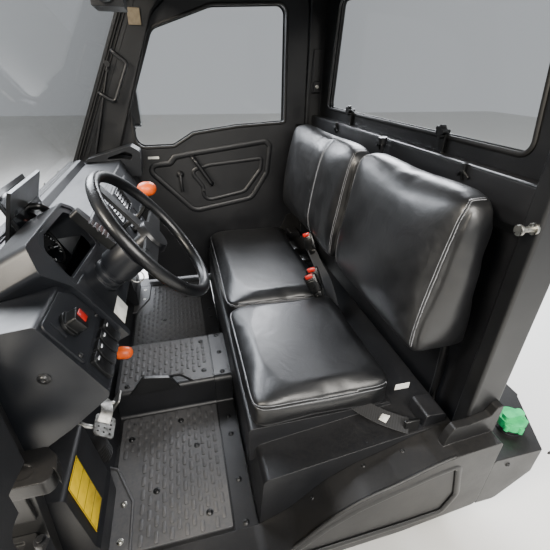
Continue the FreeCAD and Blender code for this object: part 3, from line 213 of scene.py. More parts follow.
def wovenPolyester():
    material = newMaterial("wovenPolyester")  # webbing: black ribs, 2.4 mm apart so that they show
    wave = {"Scale": perMetre(2.4) / 6.283, "Distortion": 0.4, "bands_direction": "DIAGONAL"}
    place = [(addNode(material, "TexCoord", output="Object"), "Vector")]
    rib = addNode(material, "TexWave", wave, place)
    colour = addNode(material, "Mix", blend("#0d0e10", "#1b1c1f"), [(rib, 0)], 2)
    return closeSurface(material, {"Roughness": 0.7, "Sheen Weight": 0.25, "Sheen Roughness": 0.5},
                        [(colour, "Base Color")], [(rib, 0.15)])


def laminatedGlass():
    material = newMaterial("laminatedGlass")  # clear, a faint green cast, more mirror the flatter it is seen
    facing = addNode(material, "LayerWeight", {"Blend": 0.5}, output="Facing")
    glancing = addNode(material, "Math", {"operation": "POWER", 1: 4.0}, [(facing, 0)])
    cover = addNode(material, "MapRange", between(0.0, 1.0, 0.08, 0.55), [(glancing, 0)])
    surface = {"Base Color": hexColour("#232c29"), "Roughness": 0.03, "IOR": 1.52, "Specular IOR Level": 1.0}
    return closeSurface(material, surface, [(cover, "Alpha")])


def silveredGlass():
    material = newMaterial("silveredGlass")  # rear view mirrors: bright and flat, a cool cast
    mirror = {"Base Color": hexColour("#c3c9cb"), "Metallic": 1.0, "Roughness": 0.04}
    return closeSurface(material, mirror, [])


# Small mouldings, printed films and thread, one plain tone with a faint speckle: sRGB of the light and of the
# deep tone, roughness, mm of rounded edge
enamels = {
    "greenPolyethylene": ("#22b56b", "#179257", 0.4, 1.5),
    "orangeNylon": ("#dd5a12", "#b8450a", 0.36, 1.0),
    "yellowPrintedFilm": ("#dcb90f", "#c4a10a", 0.4, 0.0),
    # white film: real labels on the dash and belt, and the strip that paints a highlight on each door trim
    "whiteFilmForLabelsAndHighlight": ("#dcdcd6", "#bdbcb4", 0.55, 0.0),
    "redNylon": ("#a9180f", "#7f0f0a", 0.3, 0.5),
    "gaugeAcrylic": ("#08090b", "#101216", 0.08, 0.4),
    "dialPrint": ("#b9bdc2", "#8e9297", 0.5, 0.0),
    # grey bonded thread, made paler than the real thread so that it also paints the highlight along each seam
    "bondedThreadPaleAsHighlight": ("#85878c", "#5c5e62", 0.5, 0.0),
    "sandPolyamide": ("#6f6450", "#574e3e", 0.5, 1.0),
    "lampAcrylic": ("#c3c6c8", "#8b9094", 0.12, 0.4),
}


def speckled(name, colour, deep, rough, edge):
    material = newMaterial(name)
    place = [(addNode(material, "TexCoord", output="Object"), "Vector")]
    patch = addNode(material, "TexNoise", {"Scale": perMetre(20), "Detail": 6.0}, place)
    skin = toned(material, patch, (0.45, 0.75), colour, deep)
    gloss = addNode(material, "MapRange", between(0.3, 0.7, rough, rough + 0.1), [(patch, 0)])
    return closeSurface(material, {"IOR": 1.49}, [(skin, "Base Color"), (gloss, "Roughness")],
                        [(patch, 0.08)], edge)


finishes = {}
for family, make in ((mouldings, moulded), (metals, plated), (enamels, speckled)):
    for finishName, look in family.items():
        finishes[finishName] = make(finishName, *look)
for make in (powderCoatedSteel, expandedVinyl, wovenPolyester, laminatedGlass, silveredGlass):
    finishes[make.__name__] = make()
print("finishes made:", len(finishes))

# Finish and rounded edge (mm) of each solid part
coverings = {
    "powderCoatedSteel": dict(floor_frame=2, seat_frame=0, front_pillars=3, rear_pillars=0, roof_rails=2,
                              rear_window_frame=0, pillar_hinges=2, screen_stays=0),
    "polypropyleneStippled": dict(floor_pan=0, firewall=0, threshold_strip=1.2, kick_panels=4, seat_base=3,
                                  rear_wall=2, belt_reels=2, filler_neck=0, grab_handles=0, wiper_motor=3,
                                  door_left_mirror=0, door_right_mirror=0),
    "absDashGrained": dict(dash_body=0, dash_tray=2, instrument_pod=2.5, switch_plate=1, steering_column=1),
    "polyethyleneSatin": dict(side_panels=2.5, front_wings=4, rear_corners=4, cowl=4),
    "roofPolyethylene": dict(roof_panel=5),
    "absDoorGrained": dict(door_left=2.5, door_right=2.5, door_left_trim=0, door_right_trim=0),
    "nylonBlack": dict(window_knobs=0, rocker_switches=1.5, light_switch=1, column_switch=1.2,
                       display_holder=2, belt_buckles=2),
    "foamedPolyurethane": dict(steering_rim=0, steering_hub=1),
    "nitrileMat": dict(floor_mats=1),
    "laminatedGlass": dict(windscreen=0, rear_window=0, door_left_glass=0, door_right_glass=0),
    "greenPolyethylene": dict(filler_cap=2),
    "orangeNylon": dict(gear_lever=0, hand_brake=1.5),
    "yellowPrintedFilm": dict(kick_plate=0),
    "gaugeAcrylic": dict(instrument_face=0),
    "zincPlatedSteel": dict(strikers=0.6, ignition_key=0),
    "drilledSteelPlate": dict(brake_pedal=0, accelerator_pedal=0.8),
}


def addModifier(piece, kind, **settings):
    modifier = piece.modifiers.new(kind.lower(), kind)
    for key, value in settings.items():
        setattr(modifier, key, value)
    return modifier


def coat(piece, finish):
    piece.data.materials.clear()
    piece.data.materials.append(finishes[finish])


for finishName, members in coverings.items():
    for nodeName, edgeMm in members.items():
        coat(nodes[nodeName], finishName)
        if edgeMm > 0:
            addModifier(nodes[nodeName], "WELD", merge_threshold=0.02 * mm)
            addModifier(nodes[nodeName], "DECIMATE", decimate_type="DISSOLVE", angle_limit=math.radians(1.0))
            addModifier(nodes[nodeName], "BEVEL", width=edgeMm * mm, segments=2, limit_method="ANGLE",
                        angle_limit=math.radians(34), use_clamp_overlap=True)
            addModifier(nodes[nodeName], "WEIGHTED_NORMAL", keep_sharp=False)
print("parts covered")


# Mesh helpers. A heap gathers the points and faces of one piece, and all heaps are meshed at the end.
heaps = []


def newPiece(name, finish, slot, body="cab", replaced=()):
    heap = {"name": name, "points": [], "faces": [], "given": (finish, slot, body, replaced)}
    heaps.append(heap)
    return heap


def register(piece, finish, slot, body="cab", replaced=()):
    coat(piece, finish)
    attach(piece, body)
    if replaced:
        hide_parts(*replaced)


def meshOf(heap):
    data = bpy.data.meshes.new(heap["name"])
    data.from_pydata([tuple(p) for p in heap["points"]], [], heap["faces"])
    return data


def meshPiece(heap):
    data = meshOf(heap)
    work = bmesh.new()
    work.from_mesh(data)
    bmesh.ops.recalc_face_normals(work, faces=work.faces)
    work.to_mesh(data)
    work.free()
    data.shade_smooth()
    data.set_sharp_from_angle(angle=math.radians(40))
    register(linked(heap["name"], data), *heap["given"])


def addRings(heap, rings, closed=False, foot=True):
    start = len(heap["points"])
    heap["points"].extend(p for ring in rings for p in ring)
    count = len(rings)
    size = len(rings[0])
    faces = []
    for i in range(count if closed else count - 1):
        j = (i + 1) % count
        faces.extend((i * size + k, i * size + (k + 1) % size, j * size + (k + 1) % size, j * size + k)
                     for k in range(size))
    if not closed:
        faces.append(tuple((count - 1) * size + k for k in range(size)))
        if foot:
            faces.append(tuple(range(size))[::-1])
    heap["faces"].extend(tuple(start + i for i in face) for face in faces)


def frameOf(axis, hint=upward):
    axis = axis.normalized()
    if abs(axis.dot(hint)) > 0.98:
        hint = rearward
    side = hint.cross(axis).normalized()
    return side, axis.cross(side), axis


def addTurned(heap, place, axis, profile, sides=12, size=1.0):
    u, v, w = frameOf(axis)
    turns = [math.tau * i / sides for i in range(sides)]
    addRings(heap, [[place + (u * math.cos(a) * r + v * math.sin(a) * r + w * h) * size * mm for a in turns]
                    for r, h in profile])


# Screw, washer and bolt heads as (radius, height). The pan head ends in its recess
panHead = [(6.4, 0), (6.4, 0.8), (5.4, 2.6), (3.4, 3.6), (2.6, 3.4), (1.9, 2.0), (0.5, 1.8)]
washer = [(9.0, 0), (9.0, 1.0), (8.4, 1.4), (6.2, 1.4)]
hexHead = [(9.2, 0), (9.2, 1.2), (7.2, 1.6), (7.2, 5.6), (6.2, 6.6), (0.5, 6.6)]


def addScrew(heap, place, axis, size=1.0, washered=False):
    if washered:
        addTurned(heap, place, axis, washer, 20, size)
    addTurned(heap, place, axis, panHead, 14, size)


def directions(path, closed):
    before = [path[-1] if closed else path[0]] + path[:-1]
    after = path[1:] + [path[0] if closed else path[-1]]
    return [(b - a).normalized() for a, b in zip(before, after)]


def addTube(heap, path, radius, sides=8, closed=False, flat=1.0):
    turns = [math.tau * k / sides for k in range(sides)]
    rings = []
    up = upward
    for p, along in zip(path, directions(path, closed)):
        side = up.cross(along)
        if side.length < 1e-4:
            side = leftward.cross(along)
        side.normalize()
        up = along.cross(side)
        rings.append([p + (side * math.cos(a) + up * math.sin(a) * flat) * radius * mm for a in turns])
    addRings(heap, rings, closed)


def addStrip(heap, path, face, section, closed=False):
    rings = []
    for p, along in zip(path, directions(path, closed)):
        side = along.cross(face).normalized()
        rings.append([p + (side * a + face * b) * mm for a, b in section])
    addRings(heap, rings, closed)


def addBlock(heap, place, sizes, axes=(leftward, rearward, upward), bevel=0.8):
    u, v, w = axes
    a, b, c = [s / 2 for s in sizes]
    t = min(bevel, a * 0.4, b * 0.4, c * 0.4)
    corners = [(-a + t, -b), (a - t, -b), (a, -b + t), (a, b - t),
               (a - t, b), (-a + t, b), (-a, b - t), (-a, -b + t)]
    rings = []
    for h, cut in ((-c, t), (-c + t, 0), (c - t, 0), (c, t)):
        narrow = (1 - cut / a, 1 - cut / b)
        rings.append([place + (u * x * narrow[0] + v * y * narrow[1] + w * h) * mm for x, y in corners])
    addRings(heap, rings)


def rectangle(x0, y0, x1, y1, radius):
    return [(x0, y0, radius), (x1, y0, radius), (x1, y1, radius), (x0, y1, radius)]


def roundedLoop(points, steps=6):
    made = []
    for i, item in enumerate(points):
        p = Vector(item[:2])
        if len(item) < 3:
            made.append(p)
            continue
        a = (Vector(points[i - 1][:2]) - p).normalized()
        b = (Vector(points[(i + 1) % len(points)][:2]) - p).normalized()
        half = a.angle(b) / 2
        back = item[2] / math.tan(half)
        centre = p + (a + b).normalized() * (item[2] / math.sin(half))
        start = p + a * back - centre
        turn = start.angle_signed(p + b * back - centre)
        made.extend(centre + Matrix.Rotation(-turn * k / steps, 2) @ start for k in range(steps + 1))
    return made


def loopOn(plane, value, outline, steps=8, place=at):
    made = []
    for p in roundedLoop(outline, steps):
        spot = [p.x, p.y]
        spot.insert("xyz".index(plane), value)
        made.append(place(*spot))
    return made


def spread(path, gap, closed=False):
    loop = path + [path[0]] if closed else path
    made = []
    for a, b in zip(loop, loop[1:]):
        parts = max(1, int((b - a).length / (gap * mm)))
        made.extend(a.lerp(b, k / parts) for k in range(parts))
    return made if closed else made + [path[-1]]


def smoothed(path, steps=8):
    made = []
    ends = [path[0]] + path + [path[-1]]
    for a, b, c, d in zip(ends, ends[1:], ends[2:], ends[3:]):
        for t in [k / steps for k in range(steps)]:
            made.append(0.5 * ((2 * b) + (c - a) * t + (2 * a - 5 * b + 4 * c - d) * t * t
                               + (3 * b - a - 3 * c + d) * t ** 3))
    return made + [path[-1]]


def through(stops, steps=6, place=at):
    return smoothed([place(*stop) for stop in stops], steps)


def evaluated(piece):
    return bpy.data.meshes.new_from_object(piece.evaluated_get(bpy.context.evaluated_depsgraph_get()))


def applied(piece):
    data = evaluated(piece)
    piece.modifiers.clear()
    piece.data = data


def carvedCopy(nodeName, name, finish, slot, body="cab", keep=None, box=None):
    data = evaluated(nodes[nodeName])
    data.transform(nodes[nodeName].matrix_world)
    piece = linked(name, data)
    if keep:
        work = bmesh.new()
        work.from_mesh(data)
        bmesh.ops.delete(work, geom=[v for v in work.verts if not keep(v.co / mm)], context="VERTS")
        work.to_mesh(data)
        work.free()
    if box:
        block = {"name": "carver", "points": [], "faces": []}
        addRings(block, box)
        carver = linked("carver", meshOf(block))
        addModifier(piece, "BOOLEAN", operation="DIFFERENCE", solver="EXACT", object=carver)
        applied(piece)
        bpy.data.objects.remove(carver)
    register(piece, finish, slot, body, (nodeName,))


def slabBox(x, y, z, place=at):
    corners = [(x[0], y[0]), (x[1], y[0]), (x[1], y[1]), (x[0], y[1])]
    return [[place(*corner, h) for corner in corners] for h in z]


# Upholstery. Each pad: the solid it stands for, its box, its crown, how full it is, how far the cloth may
# move it, how square its corners are, its mesh size, how far it may stand past the foot and the top of its
# box, and the x of the sewn channel that parts the wide back
seatPad = dict(seat=True, y=(-36, 374), z=(425, 517), crown=12, fill=0.8, cap=12, square=14.0, voxel=7,
               past=(0.4, 14))
backPad = dict(seat=False, z=(613, 1052), crown=16, fill=0.85, cap=14, square=8.0, voxel=8, past=(-4, 6))
pads = {
    "driverSeatPad": dict(seatPad, node="driver_cushion", x=(126, 606)),
    "passengerSeatPad": dict(seatPad, node="passenger_cushion", x=(-606, 114)),
    "driverBackPad": dict(backPad, node="driver_back", x=(98, 650)),
    "passengerBackPad": dict(backPad, node="passenger_back", x=(-640, 86), channel=-150),
}
backLine = {"frontLow": 353, "lean": 0.16, "rearLow": 540, "rearHigh": 506}
# Seams: where they run, how far the thread lies beside them, width and depth of the grooves they pull in
seams = {"seat": 500, "seatFoot": 432, "back": 17, "thread": 3.5, "backThread": 4.5, "seatCut": (4, 3),
         "backCut": (3.4, 2.2), "channelCuts": ((15, 5), (45, 6))}
cloth = dict(use_pressure=True, uniform_pressure_force=4.0, quality=3, mass=0.3, tension_stiffness=30,
             compression_stiffness=30, shear_stiffness=12, bending_stiffness=10)
clothFrames = 13
# How the top of a pad draws in and the front of a seat bows over; rolls of the back's rim and of its foot
padShape = {"swell": 1, "drawX": 0.035, "drawY": 0.03, "belly": 0.02, "noseFrom": 0.55, "noseDrop": 16,
            "rimRoll": 26, "footRoll": 30, "aside": 9}


def backFront(z):
    return backLine["frontLow"] + (z - backPad["z"][0]) * backLine["lean"]


def backRear(z):
    low, high = backPad["z"]
    share = (z - low) / (high - low)
    return backLine["rearLow"] + (backLine["rearHigh"] - backLine["rearLow"]) * share


def superSquare(u, v, power):
    bigger = max(abs(u), abs(v))
    if bigger < 1e-6:
        return 0.0, 0.0
    length = (abs(u) ** power + abs(v) ** power) ** (1 / power)
    return u * bigger / length, v * bigger / length


def padForm(spec):
    x0, x1 = spec["x"]
    z0, z1 = spec["z"]
    swell = padShape["swell"]
    work = bmesh.new()
    bmesh.ops.create_cube(work, size=2.0)
    bmesh.ops.subdivide_edges(work, edges=work.edges, cuts=13, use_grid_fill=True)
    for vert in work.verts:
        u, v, w = vert.co
        if spec["seat"]:
            y0, y1 = spec["y"]
            u, v = superSquare(u, v, spec["square"])
            top = max(0.0, w)
            belly = 1.0 - padShape["belly"] * (1 - w * w)
            nose = max(0.0, -v - padShape["noseFrom"]) / (1 - padShape["noseFrom"])
            x = (x0 + x1) / 2 + u * ((x1 - x0) / 2 + swell) * (1.0 - padShape["drawX"] * top ** 4)
            y = (y0 + y1) / 2 + v * ((y1 - y0) / 2 + swell) * (1.0 - padShape["drawY"] * top ** 4) * belly
            z = (z0 + z1) / 2 + w * ((z1 - z0) / 2 + swell)
            z -= top * nose ** 2 * padShape["noseDrop"]
            z += top * spec["crown"] * (1 - u * u) * (1 - v * v)
        else:
            u, rise = superSquare(u, w, spec["square"])
            x = (x0 + x1) / 2 + u * ((x1 - x0) / 2 + swell)
            z = (z0 + z1) / 2 + rise * ((z1 - z0) / 2 + swell)
            front = backFront(z) - swell + max(abs(u), abs(rise)) ** 6 * padShape["rimRoll"]
            if rise < 0:
                front += abs(rise) ** 5 * padShape["footRoll"]
            y = front + (backRear(z) + swell - front) * (v + 1) / 2
            y -= max(0.0, -v) * spec["crown"] * (1 - u * u) * (1 - rise * rise)
        vert.co = at(x, y, z)
    bmesh.ops.recalc_face_normals(work, faces=work.faces)
    data = bpy.data.meshes.new("padForm")
    work.to_mesh(data)
    work.free()
    return data


def inflate(piece, spec):
    scene = bpy.context.scene
    start = [v.co.copy() for v in piece.data.vertices]
    fill = addModifier(piece, "CLOTH")
    for key, value in cloth.items():
        setattr(fill.settings, key, value)
    fill.settings.effector_weights.gravity = 0.0
    fill.collision_settings.use_collision = False
    fill.point_cache.frame_start = 1
    fill.point_cache.frame_end = clothFrames
    for step in range(1, clothFrames + 1):
        scene.frame_set(step)
        bpy.context.view_layer.update()
    addModifier(piece, "SMOOTH", factor=0.6, iterations=16)
    applied(piece)
    cap = spec["cap"] * mm
    for vert, was in zip(piece.data.vertices, start):
        move = vert.co - was
        if move.length > cap:
            move *= cap / move.length
        vert.co = was + move
    scene.frame_set(1)


def keepInside(piece, spec):
    x0, x1 = spec["x"]
    z0, z1 = [side + past for side, past in zip(spec["z"], spec["past"])]
    for vert in piece.data.vertices:
        x, y, z = vert.co / mm
        x = min(x1 + padShape["aside"], max(x0 - padShape["aside"], x))
        z = min(z1, max(z0, z))
        if spec["seat"]:
            y = max(spec["y"][0] - 8, min(spec["y"][1] + 6, y))
        else:
            y = min(backRear(z) - 0.5, y)
        vert.co = at(x, y, z)


def stepIn(value, low, high):
    share = min(1.0, max(0.0, (value - low) / (high - low)))
    return share * share * (3 - 2 * share)


def groove(offset, width, depth):
    return math.exp(-(offset / width) ** 2) * depth


def sew(piece, spec):
    x0, x1 = spec["x"]
    middle = (x0 + x1) / 2
    half = (x1 - x0) / 2
    top = spec["z"][1]
    for vert in piece.data.vertices:
        x, y, z = vert.co / mm
        if "channel" in spec:
            pull = sum(groove(x - spec["channel"], *cut) for cut in seams["channelCuts"])
            y += pull * (1 - stepIn(y, backFront(z) + 4, backFront(z) + 30))
        if spec["seat"]:
            front = -spec["y"][0]
            reach = max(stepIn(abs(x - middle), half - 22, half - 8), stepIn(-y, front - 30, front - 8))
            x -= groove(z - seams["seat"], *seams["seatCut"]) * reach * (1 if x > middle else -1)
        else:
            for side in (x0 + seams["back"], x1 - seams["back"]):
                pull = groove(x - side, *seams["backCut"])
                y += pull * (1 - stepIn(y, backFront(z) + 30, backFront(z) + 55))
                z -= pull * stepIn(z, top - 12, top)
        vert.co = at(x, y, z)


def seatedOn(piece, path, gap, lift):
    tree = BVHTree.FromObject(piece, bpy.context.evaluated_depsgraph_get())
    seated = []
    for p in spread(path, gap):
        spot, normal = tree.find_nearest(p)[:2]
        if spot is not None:
            seated.append(spot + normal * lift * mm)
    return seated


def addStitches(heap, piece, path, long=6.0, gap=2.0):
    seated = seatedOn(piece, path, 2.4, 0.4)
    walk = 0.0
    run = []
    for a, b in zip(seated, seated[1:]):
        run.append(a)
        walk += (b - a).length / mm
        if walk >= long:
            addTube(heap, run + [b], 0.9, 5)
            walk = -gap
        if walk < 0:
            run = []


def backSeam(x, foot):
    stops = [(backFront(foot) - 5, foot), (backFront(1000) - 5, 1000), (backFront(1052) + 12, 1062),
             (backRear(1052) - 10, 1062)]
    return [at(x, y, z) for y, z in stops]


def makePad(name, spec):
    x0, x1 = spec["x"]
    piece = linked(name, padForm(spec))
    addModifier(piece, "REMESH", mode="VOXEL", voxel_size=spec["voxel"] * mm)
    addModifier(piece, "SMOOTH", factor=0.5, iterations=6)
    applied(piece)
    inflate(piece, spec)
    keepInside(piece, spec)
    addModifier(piece, "SMOOTH", factor=0.5, iterations=5)
    addModifier(piece, "SUBSURF", levels=1, render_levels=1)
    applied(piece)
    sew(piece, spec)
    piece.data.shade_smooth()
    register(piece, "expandedVinyl", "seat_vinyl", replaced=(spec["node"],))
    if spec["seat"]:
        y0, y1 = spec["y"]
        plan = [(x0, y1), (x0, y0, 50), (x1, y0, 50), (x1, y1)]
        off = seams["thread"]
        threads = [loopOn("z", seams["seat"] + rise, plan, 10) for rise in (off, -off)]
        pipes = [loopOn("z", z, plan, 10) for z in (seams["seat"], seams["seatFoot"])]
    else:
        lines = [x0 + seams["back"], x1 - seams["back"]]
        off = seams["backThread"]
        threads = [backSeam(x + aside, 640) for x in lines for aside in (-off, off)]
        pipes = [backSeam(x, 630) for x in lines]
    if "channel" in spec:
        for x in (spec["channel"] - 4, spec["channel"] + 4):
            threads.append([at(x, backFront(z) - 6, z) for z in (650, 1030)])
    # the pale thread gives the stitches and also paints the highlight that runs along each seam
    stitches = newPiece(name + "Stitching", "bondedThreadPaleAsHighlight", "seat_vinyl")
    for path in threads:
        addStitches(stitches, piece, path)
    welts = newPiece(name + "Piping", "expandedVinyl", "seat_vinyl")
    for path in pipes:
        addTube(welts, seatedOn(piece, path, 6.0, 0.2), 2.3, 6)
    print("pad made:", name, len(piece.data.polygons))


for padName, padSpec in pads.items():
    makePad(padName, padSpec)


# Floor mats: raised oblong studs in staggered rows, screws with washers
studs = {"long": 31.0, "wide": 12.0, "high": 2.6, "pitchX": 42.0, "pitchY": 20.5, "round": 4.5}
footwellTop = 167
tunnelTop = 286
mats = [
    dict(x=(256, 690), y=(-428, -116), z=footwellTop,
         clear=lambda x, y: y > -374 or x < 412 + (y + 428) * 0.2),
    dict(x=(-8, 226), y=(-432, -116), z=tunnelTop, clear=lambda x, y: x < 176 or not -368 < y < -168),
    dict(x=(-690, -50), y=(-428, -116), z=footwellTop, clear=lambda x, y: y > -374 or x > -432),
]
matScrews = {
    footwellTop: [(342, -403), (541, -317), (413, -191), (640, -170), (300, -240), (-120, -403), (-340, -300),
                  (-540, -190), (-150, -170), (-620, -330)],
    tunnelTop: [(212, -408), (20, -408), (20, -140), (190, -140)],
}


def addStud(heap, x, y, z):
    half = (studs["long"] / 2, studs["wide"] / 2)
    rim = roundedLoop(rectangle(-half[0], -half[1], *half, studs["round"]), 3)
    rings = ((1, 1, -0.2), (1, 1, studs["high"] - 0.7), (0.94, 0.82, studs["high"]))
    addRings(heap, [[at(x + p.x * long, y + p.y * wide, z + rise) for p in rim]
                    for long, wide, rise in rings], foot=False)


def makeMats():
    heap = newPiece("matStuds", "nitrileMat", "mat_rubber")
    reach = studs["long"] / 2
    for mat in mats:
        y0, y1 = mat["y"]
        for row in range(int((y1 - y0) / studs["pitchY"]) + 1):
            y = y0 + 10 + row * studs["pitchY"]
            x = mat["x"][0] + reach + (studs["pitchX"] / 2 if row % 2 else 0)
            while x + reach < mat["x"][1]:
                held = any(math.hypot(x - a, (y - b) * 1.4) < 24 for a, b in matScrews[mat["z"]])
                if mat["clear"](x, y) and y < y1 and not held:
                    addStud(heap, x, y, mat["z"])
                x += studs["pitchX"]
    screws = newPiece("matScrews", "powderCoatedSteel", "frame_steel")
    for z, places in matScrews.items():
        for x, y in places:
            addScrew(screws, at(x, y, z), upward, 1.15, True)


# The dash's sloping face: x across, share down the face, out along its normal, and mm further down
dashTop = (-403.0, 904.0)
dashFoot = (-317.0, 733.0)


def dashPoint(x, share, out=0.0, down=0.0):
    dy = dashFoot[0] - dashTop[0]
    dz = dashFoot[1] - dashTop[1]
    length = math.hypot(dy, dz)
    share += down / length
    return at(x, dashTop[0] + dy * share - dz / length * out, dashTop[1] + dz * share + dy / length * out)


dashOut = (dashPoint(0, 0, 1) - dashPoint(0, 0, 0)).normalized()
dashDown = (dashPoint(0, 1) - dashPoint(0, 0)).normalized()
dashAxes = (leftward, dashDown, dashOut)


# x, y, z and slope of the sill under each screw
sillScrews = [(722, 103, 262, 0.92), (720, 242, 350, 0.42), (729, 346, 388, 0.39), (740, -250, 168, 0)]


def makeScrews():
    heap = newPiece("panelScrews", "powderCoatedSteel", "frame_steel")
    for z, places in ((166, (-690, -562, -395, -320, -170, -110, 320, 395, 562, 690)), (285, (-8, 100, 210))):
        for x in places:
            addScrew(heap, at(x, -74, z), upward, 1.1, True)
    for side in (-1, 1):
        for y, z in ((-560, 128), (-380, 128), (-180, 126), (640, 330), (780, 336)):
            addScrew(heap, at(side * 800, y, z), leftward * side, 1.1)
        for x, y, z, slope in sillScrews:
            addScrew(heap, at(side * x, y, z), Vector((0, -slope, 1)).normalized())
        addScrew(heap, at(side * 698, -416, 795), leftward * side, 1.3, True)
    addScrew(heap, dashPoint(679, 0.5, 4.5), dashOut, 0.9)
    addScrew(heap, dashPoint(545, 0.54, 4.5), dashOut, 0.8)


def makeSwitchTrim():
    lenses = newPiece("switchLenses", "lampAcrylic", "switch_black")
    for x in (546, 582, 618, 654):
        addBlock(lenses, dashPoint(x, 0.70, 8.5), (10, 3, 2.4), dashAxes, 0.6)
    addBlock(lenses, dashPoint(634, 0.36, 17), (6, 16, 3), dashAxes, 1.0)
    red = newPiece("lightSwitchLens", "redNylon", "switch_black")
    addBlock(red, dashPoint(630, 0.27, 33.4), (17, 22, 2.2), dashAxes)
    whiteFilmPiece = newPiece("dashLabel", "whiteFilmForLabelsAndHighlight", "dash_moulding")
    addBlock(whiteFilmPiece, dashPoint(432, 0.9, 0.6), (74, 40, 0.8), dashAxes, 0.2)


def makeHeaterPanel():
    vents = newPiece("ventLouvres", "nylonBlack", "dash_moulding")
    slat = (leftward, (dashDown + dashOut * 0.7).normalized(), (dashOut - dashDown * 0.7).normalized())
    for middle in (-132, 2):
        for i in range(5):
            addBlock(vents, dashPoint(middle, 0.19 + 0.07 * i, 14), (92, 12, 1.6), slat, 0.5)
        addBlock(vents, dashPoint(middle, 0.33, 13.5), (3, 64, 6), dashAxes, 0.6)
        rim = roundedLoop(rectangle(-52, -38, 52, 38, 8), 4)
        addTube(vents, [dashPoint(middle + p.x, 0.33, 22.2, p.y) for p in rim], 2.0, closed=True)
    knobs = newPiece("heaterKnobs", "nylonBlack", "switch_black")
    for x in (-120, -65, -10):
        profile = [(17, 0), (17, 3), (13, 5), (12, 14), (10.5, 16), (0.5, 16)]
        addTurned(knobs, dashPoint(x, 0.73, 19), dashOut, profile, 24)
        addBlock(knobs, dashPoint(x, 0.70, 36), (3, 12, 2.4), dashAxes, 0.6)
    lid = newPiece("gloveBoxLid", "absDashGrained", "dash_moulding")
    rim = roundedLoop(rectangle(-560, 40, -236, 168, 14), 5)
    addTube(lid, [dashPoint(p.x, 0, 0.2, p.y) for p in rim], 2.4, closed=True)
    addBlock(lid, dashPoint(-398, 0.26, 4), (84, 20, 8), dashAxes, 3.0)


# Two dials in the hood: share down the dash, radius, depth of their face, first tick and sweep (degrees)
dials = {"places": (458, 356), "share": -0.1, "radius": 40, "depth": -57.6, "ticks": 21, "first": 135,
         "sweep": 270, "needle": 160}


def makeGauges():
    bezels = newPiece("gaugeBezels", "nylonBlack", "gauge_black")
    marks = newPiece("gaugeMarks", "dialPrint", "gauge_black")
    radius, depth = dials["radius"], dials["depth"]
    for x in dials["places"]:
        def spot(reach, a, rise):
            return dashPoint(x + math.cos(a) * reach, dials["share"], depth + rise, math.sin(a) * reach)

        def pointing(a):
            outward = leftward * math.cos(a) + dashDown * math.sin(a)
            return outward, dashOut.cross(outward), dashOut

        addTube(bezels, [spot(radius, math.tau * k / 40, 2) for k in range(40)], 2.4, closed=True)
        for k in range(dials["ticks"]):
            a = math.radians(dials["first"] + dials["sweep"] * k / (dials["ticks"] - 1))
            major = k % 5 == 0
            long = 7 if major else 3
            wide = 1.6 if major else 0.9
            addBlock(marks, spot(radius - 4 - long / 2, a, 1), (long, wide, 0.8), pointing(a), 0.1)
        a = math.radians(dials["needle"])
        addBlock(marks, spot(14, a, 2), (30, 2.2, 1.4), pointing(a), 0.3)
        addTurned(bezels, spot(0, 0, 0.6), dashOut, [(6, 0), (6, 3), (4, 4.4), (0.5, 4.4)], 16)
    addBlock(bezels, dashPoint(407, 0.11, depth + 1.5), (70, 26, 3), dashAxes, 1.0)


def makeDisplay():
    centre = at(276, -524, 968)
    lean = math.radians(18)
    outward = Vector((0, math.cos(lean), math.sin(lean)))
    axes = (leftward, outward.cross(leftward), outward)
    case = newPiece("displayCase", "nylonBlack", "switch_black")
    addBlock(case, centre + outward * 5 * mm, (196, 130, 4), axes, 2)
    addTurned(case, at(226, -484, 899), upward, [(30, 0), (30, 6), (20, 10), (14, 16), (14, 24)], 24)
    addTurned(case, centre - outward * 16 * mm, outward, [(22, 0), (26, 4), (26, 8), (14, 12)], 20)
    glass = newPiece("displayGlass", "gaugeAcrylic", "gauge_black")
    addBlock(glass, centre + outward * 7.4 * mm, (176, 108, 1.6), axes, 0.4)


# Doors and panes: outlines as (along, up, corner radius), closed runs of rubber round them
sealSection = [(-6, -2), (-6, 3), (-3, 5.5), (3, 5.5), (6, 3), (6, -2)]
doorWindow = [(-341, 930, 50), (-341, 1110, 60), (-205, 1425, 60), (60, 1518, 120), (405, 1538, 40),
              (405, 1036, 14), (163, 1022, 60), (-60, 992, 40), (-160, 934, 40)]
doorField = [(-350, 843, 30), (-190, 854, 20), (-163, 885, 16), (-88, 897, 20), (305, 949, 20),
             (327, 924, 12), (311, 784, 30), (226, 650, 60), (-90, 597, 60), (-271, 795, 30)]
doorPocket = [(-96, 812, 24), (10, 838, 30), (284, 862, 12), (276, 802, 20), (190, 690, 50), (-60, 642, 40),
              (-30, 720, 40)]
doorPress = [(-360, 330, 60), (-360, 640, 60), (-300, 700, 60), (470, 820, 60), (470, 620, 60),
             (330, 480, 120), (120, 400, 120), (-20, 290, 80)]
doorMirror = [(813, 1022, 20), (927, 1028, 20), (922, 1200, 26), (820, 1194, 26)]
rearWindow = [(-598, 1114, 30), (598, 1114, 30), (545, 1535, 30), (-545, 1535, 30)]
doorHinge = {"x": 785.0, "y": -485.0, "open": 95.0}
doorPlane = {"inner": 712.0, "mid": 747.0, "outer": 768.0}
notchHigh = {"left": 762, "right": 690}
screenLean = math.radians(26.3)


def onDoor(side):
    if side < 0:
        return lambda x, y, z: at(-x, y, z), lambda d: Vector((-d.x, d.y, d.z)), "door_right_body"
    turn = Matrix.Rotation(math.radians(-doorHinge["open"]), 3, "Z")
    pivot = at(doorHinge["x"], doorHinge["y"], 0)
    return (lambda x, y, z: pivot + turn @ (at(x, y, z) - pivot)), (lambda d: turn @ d), "door_left_body"


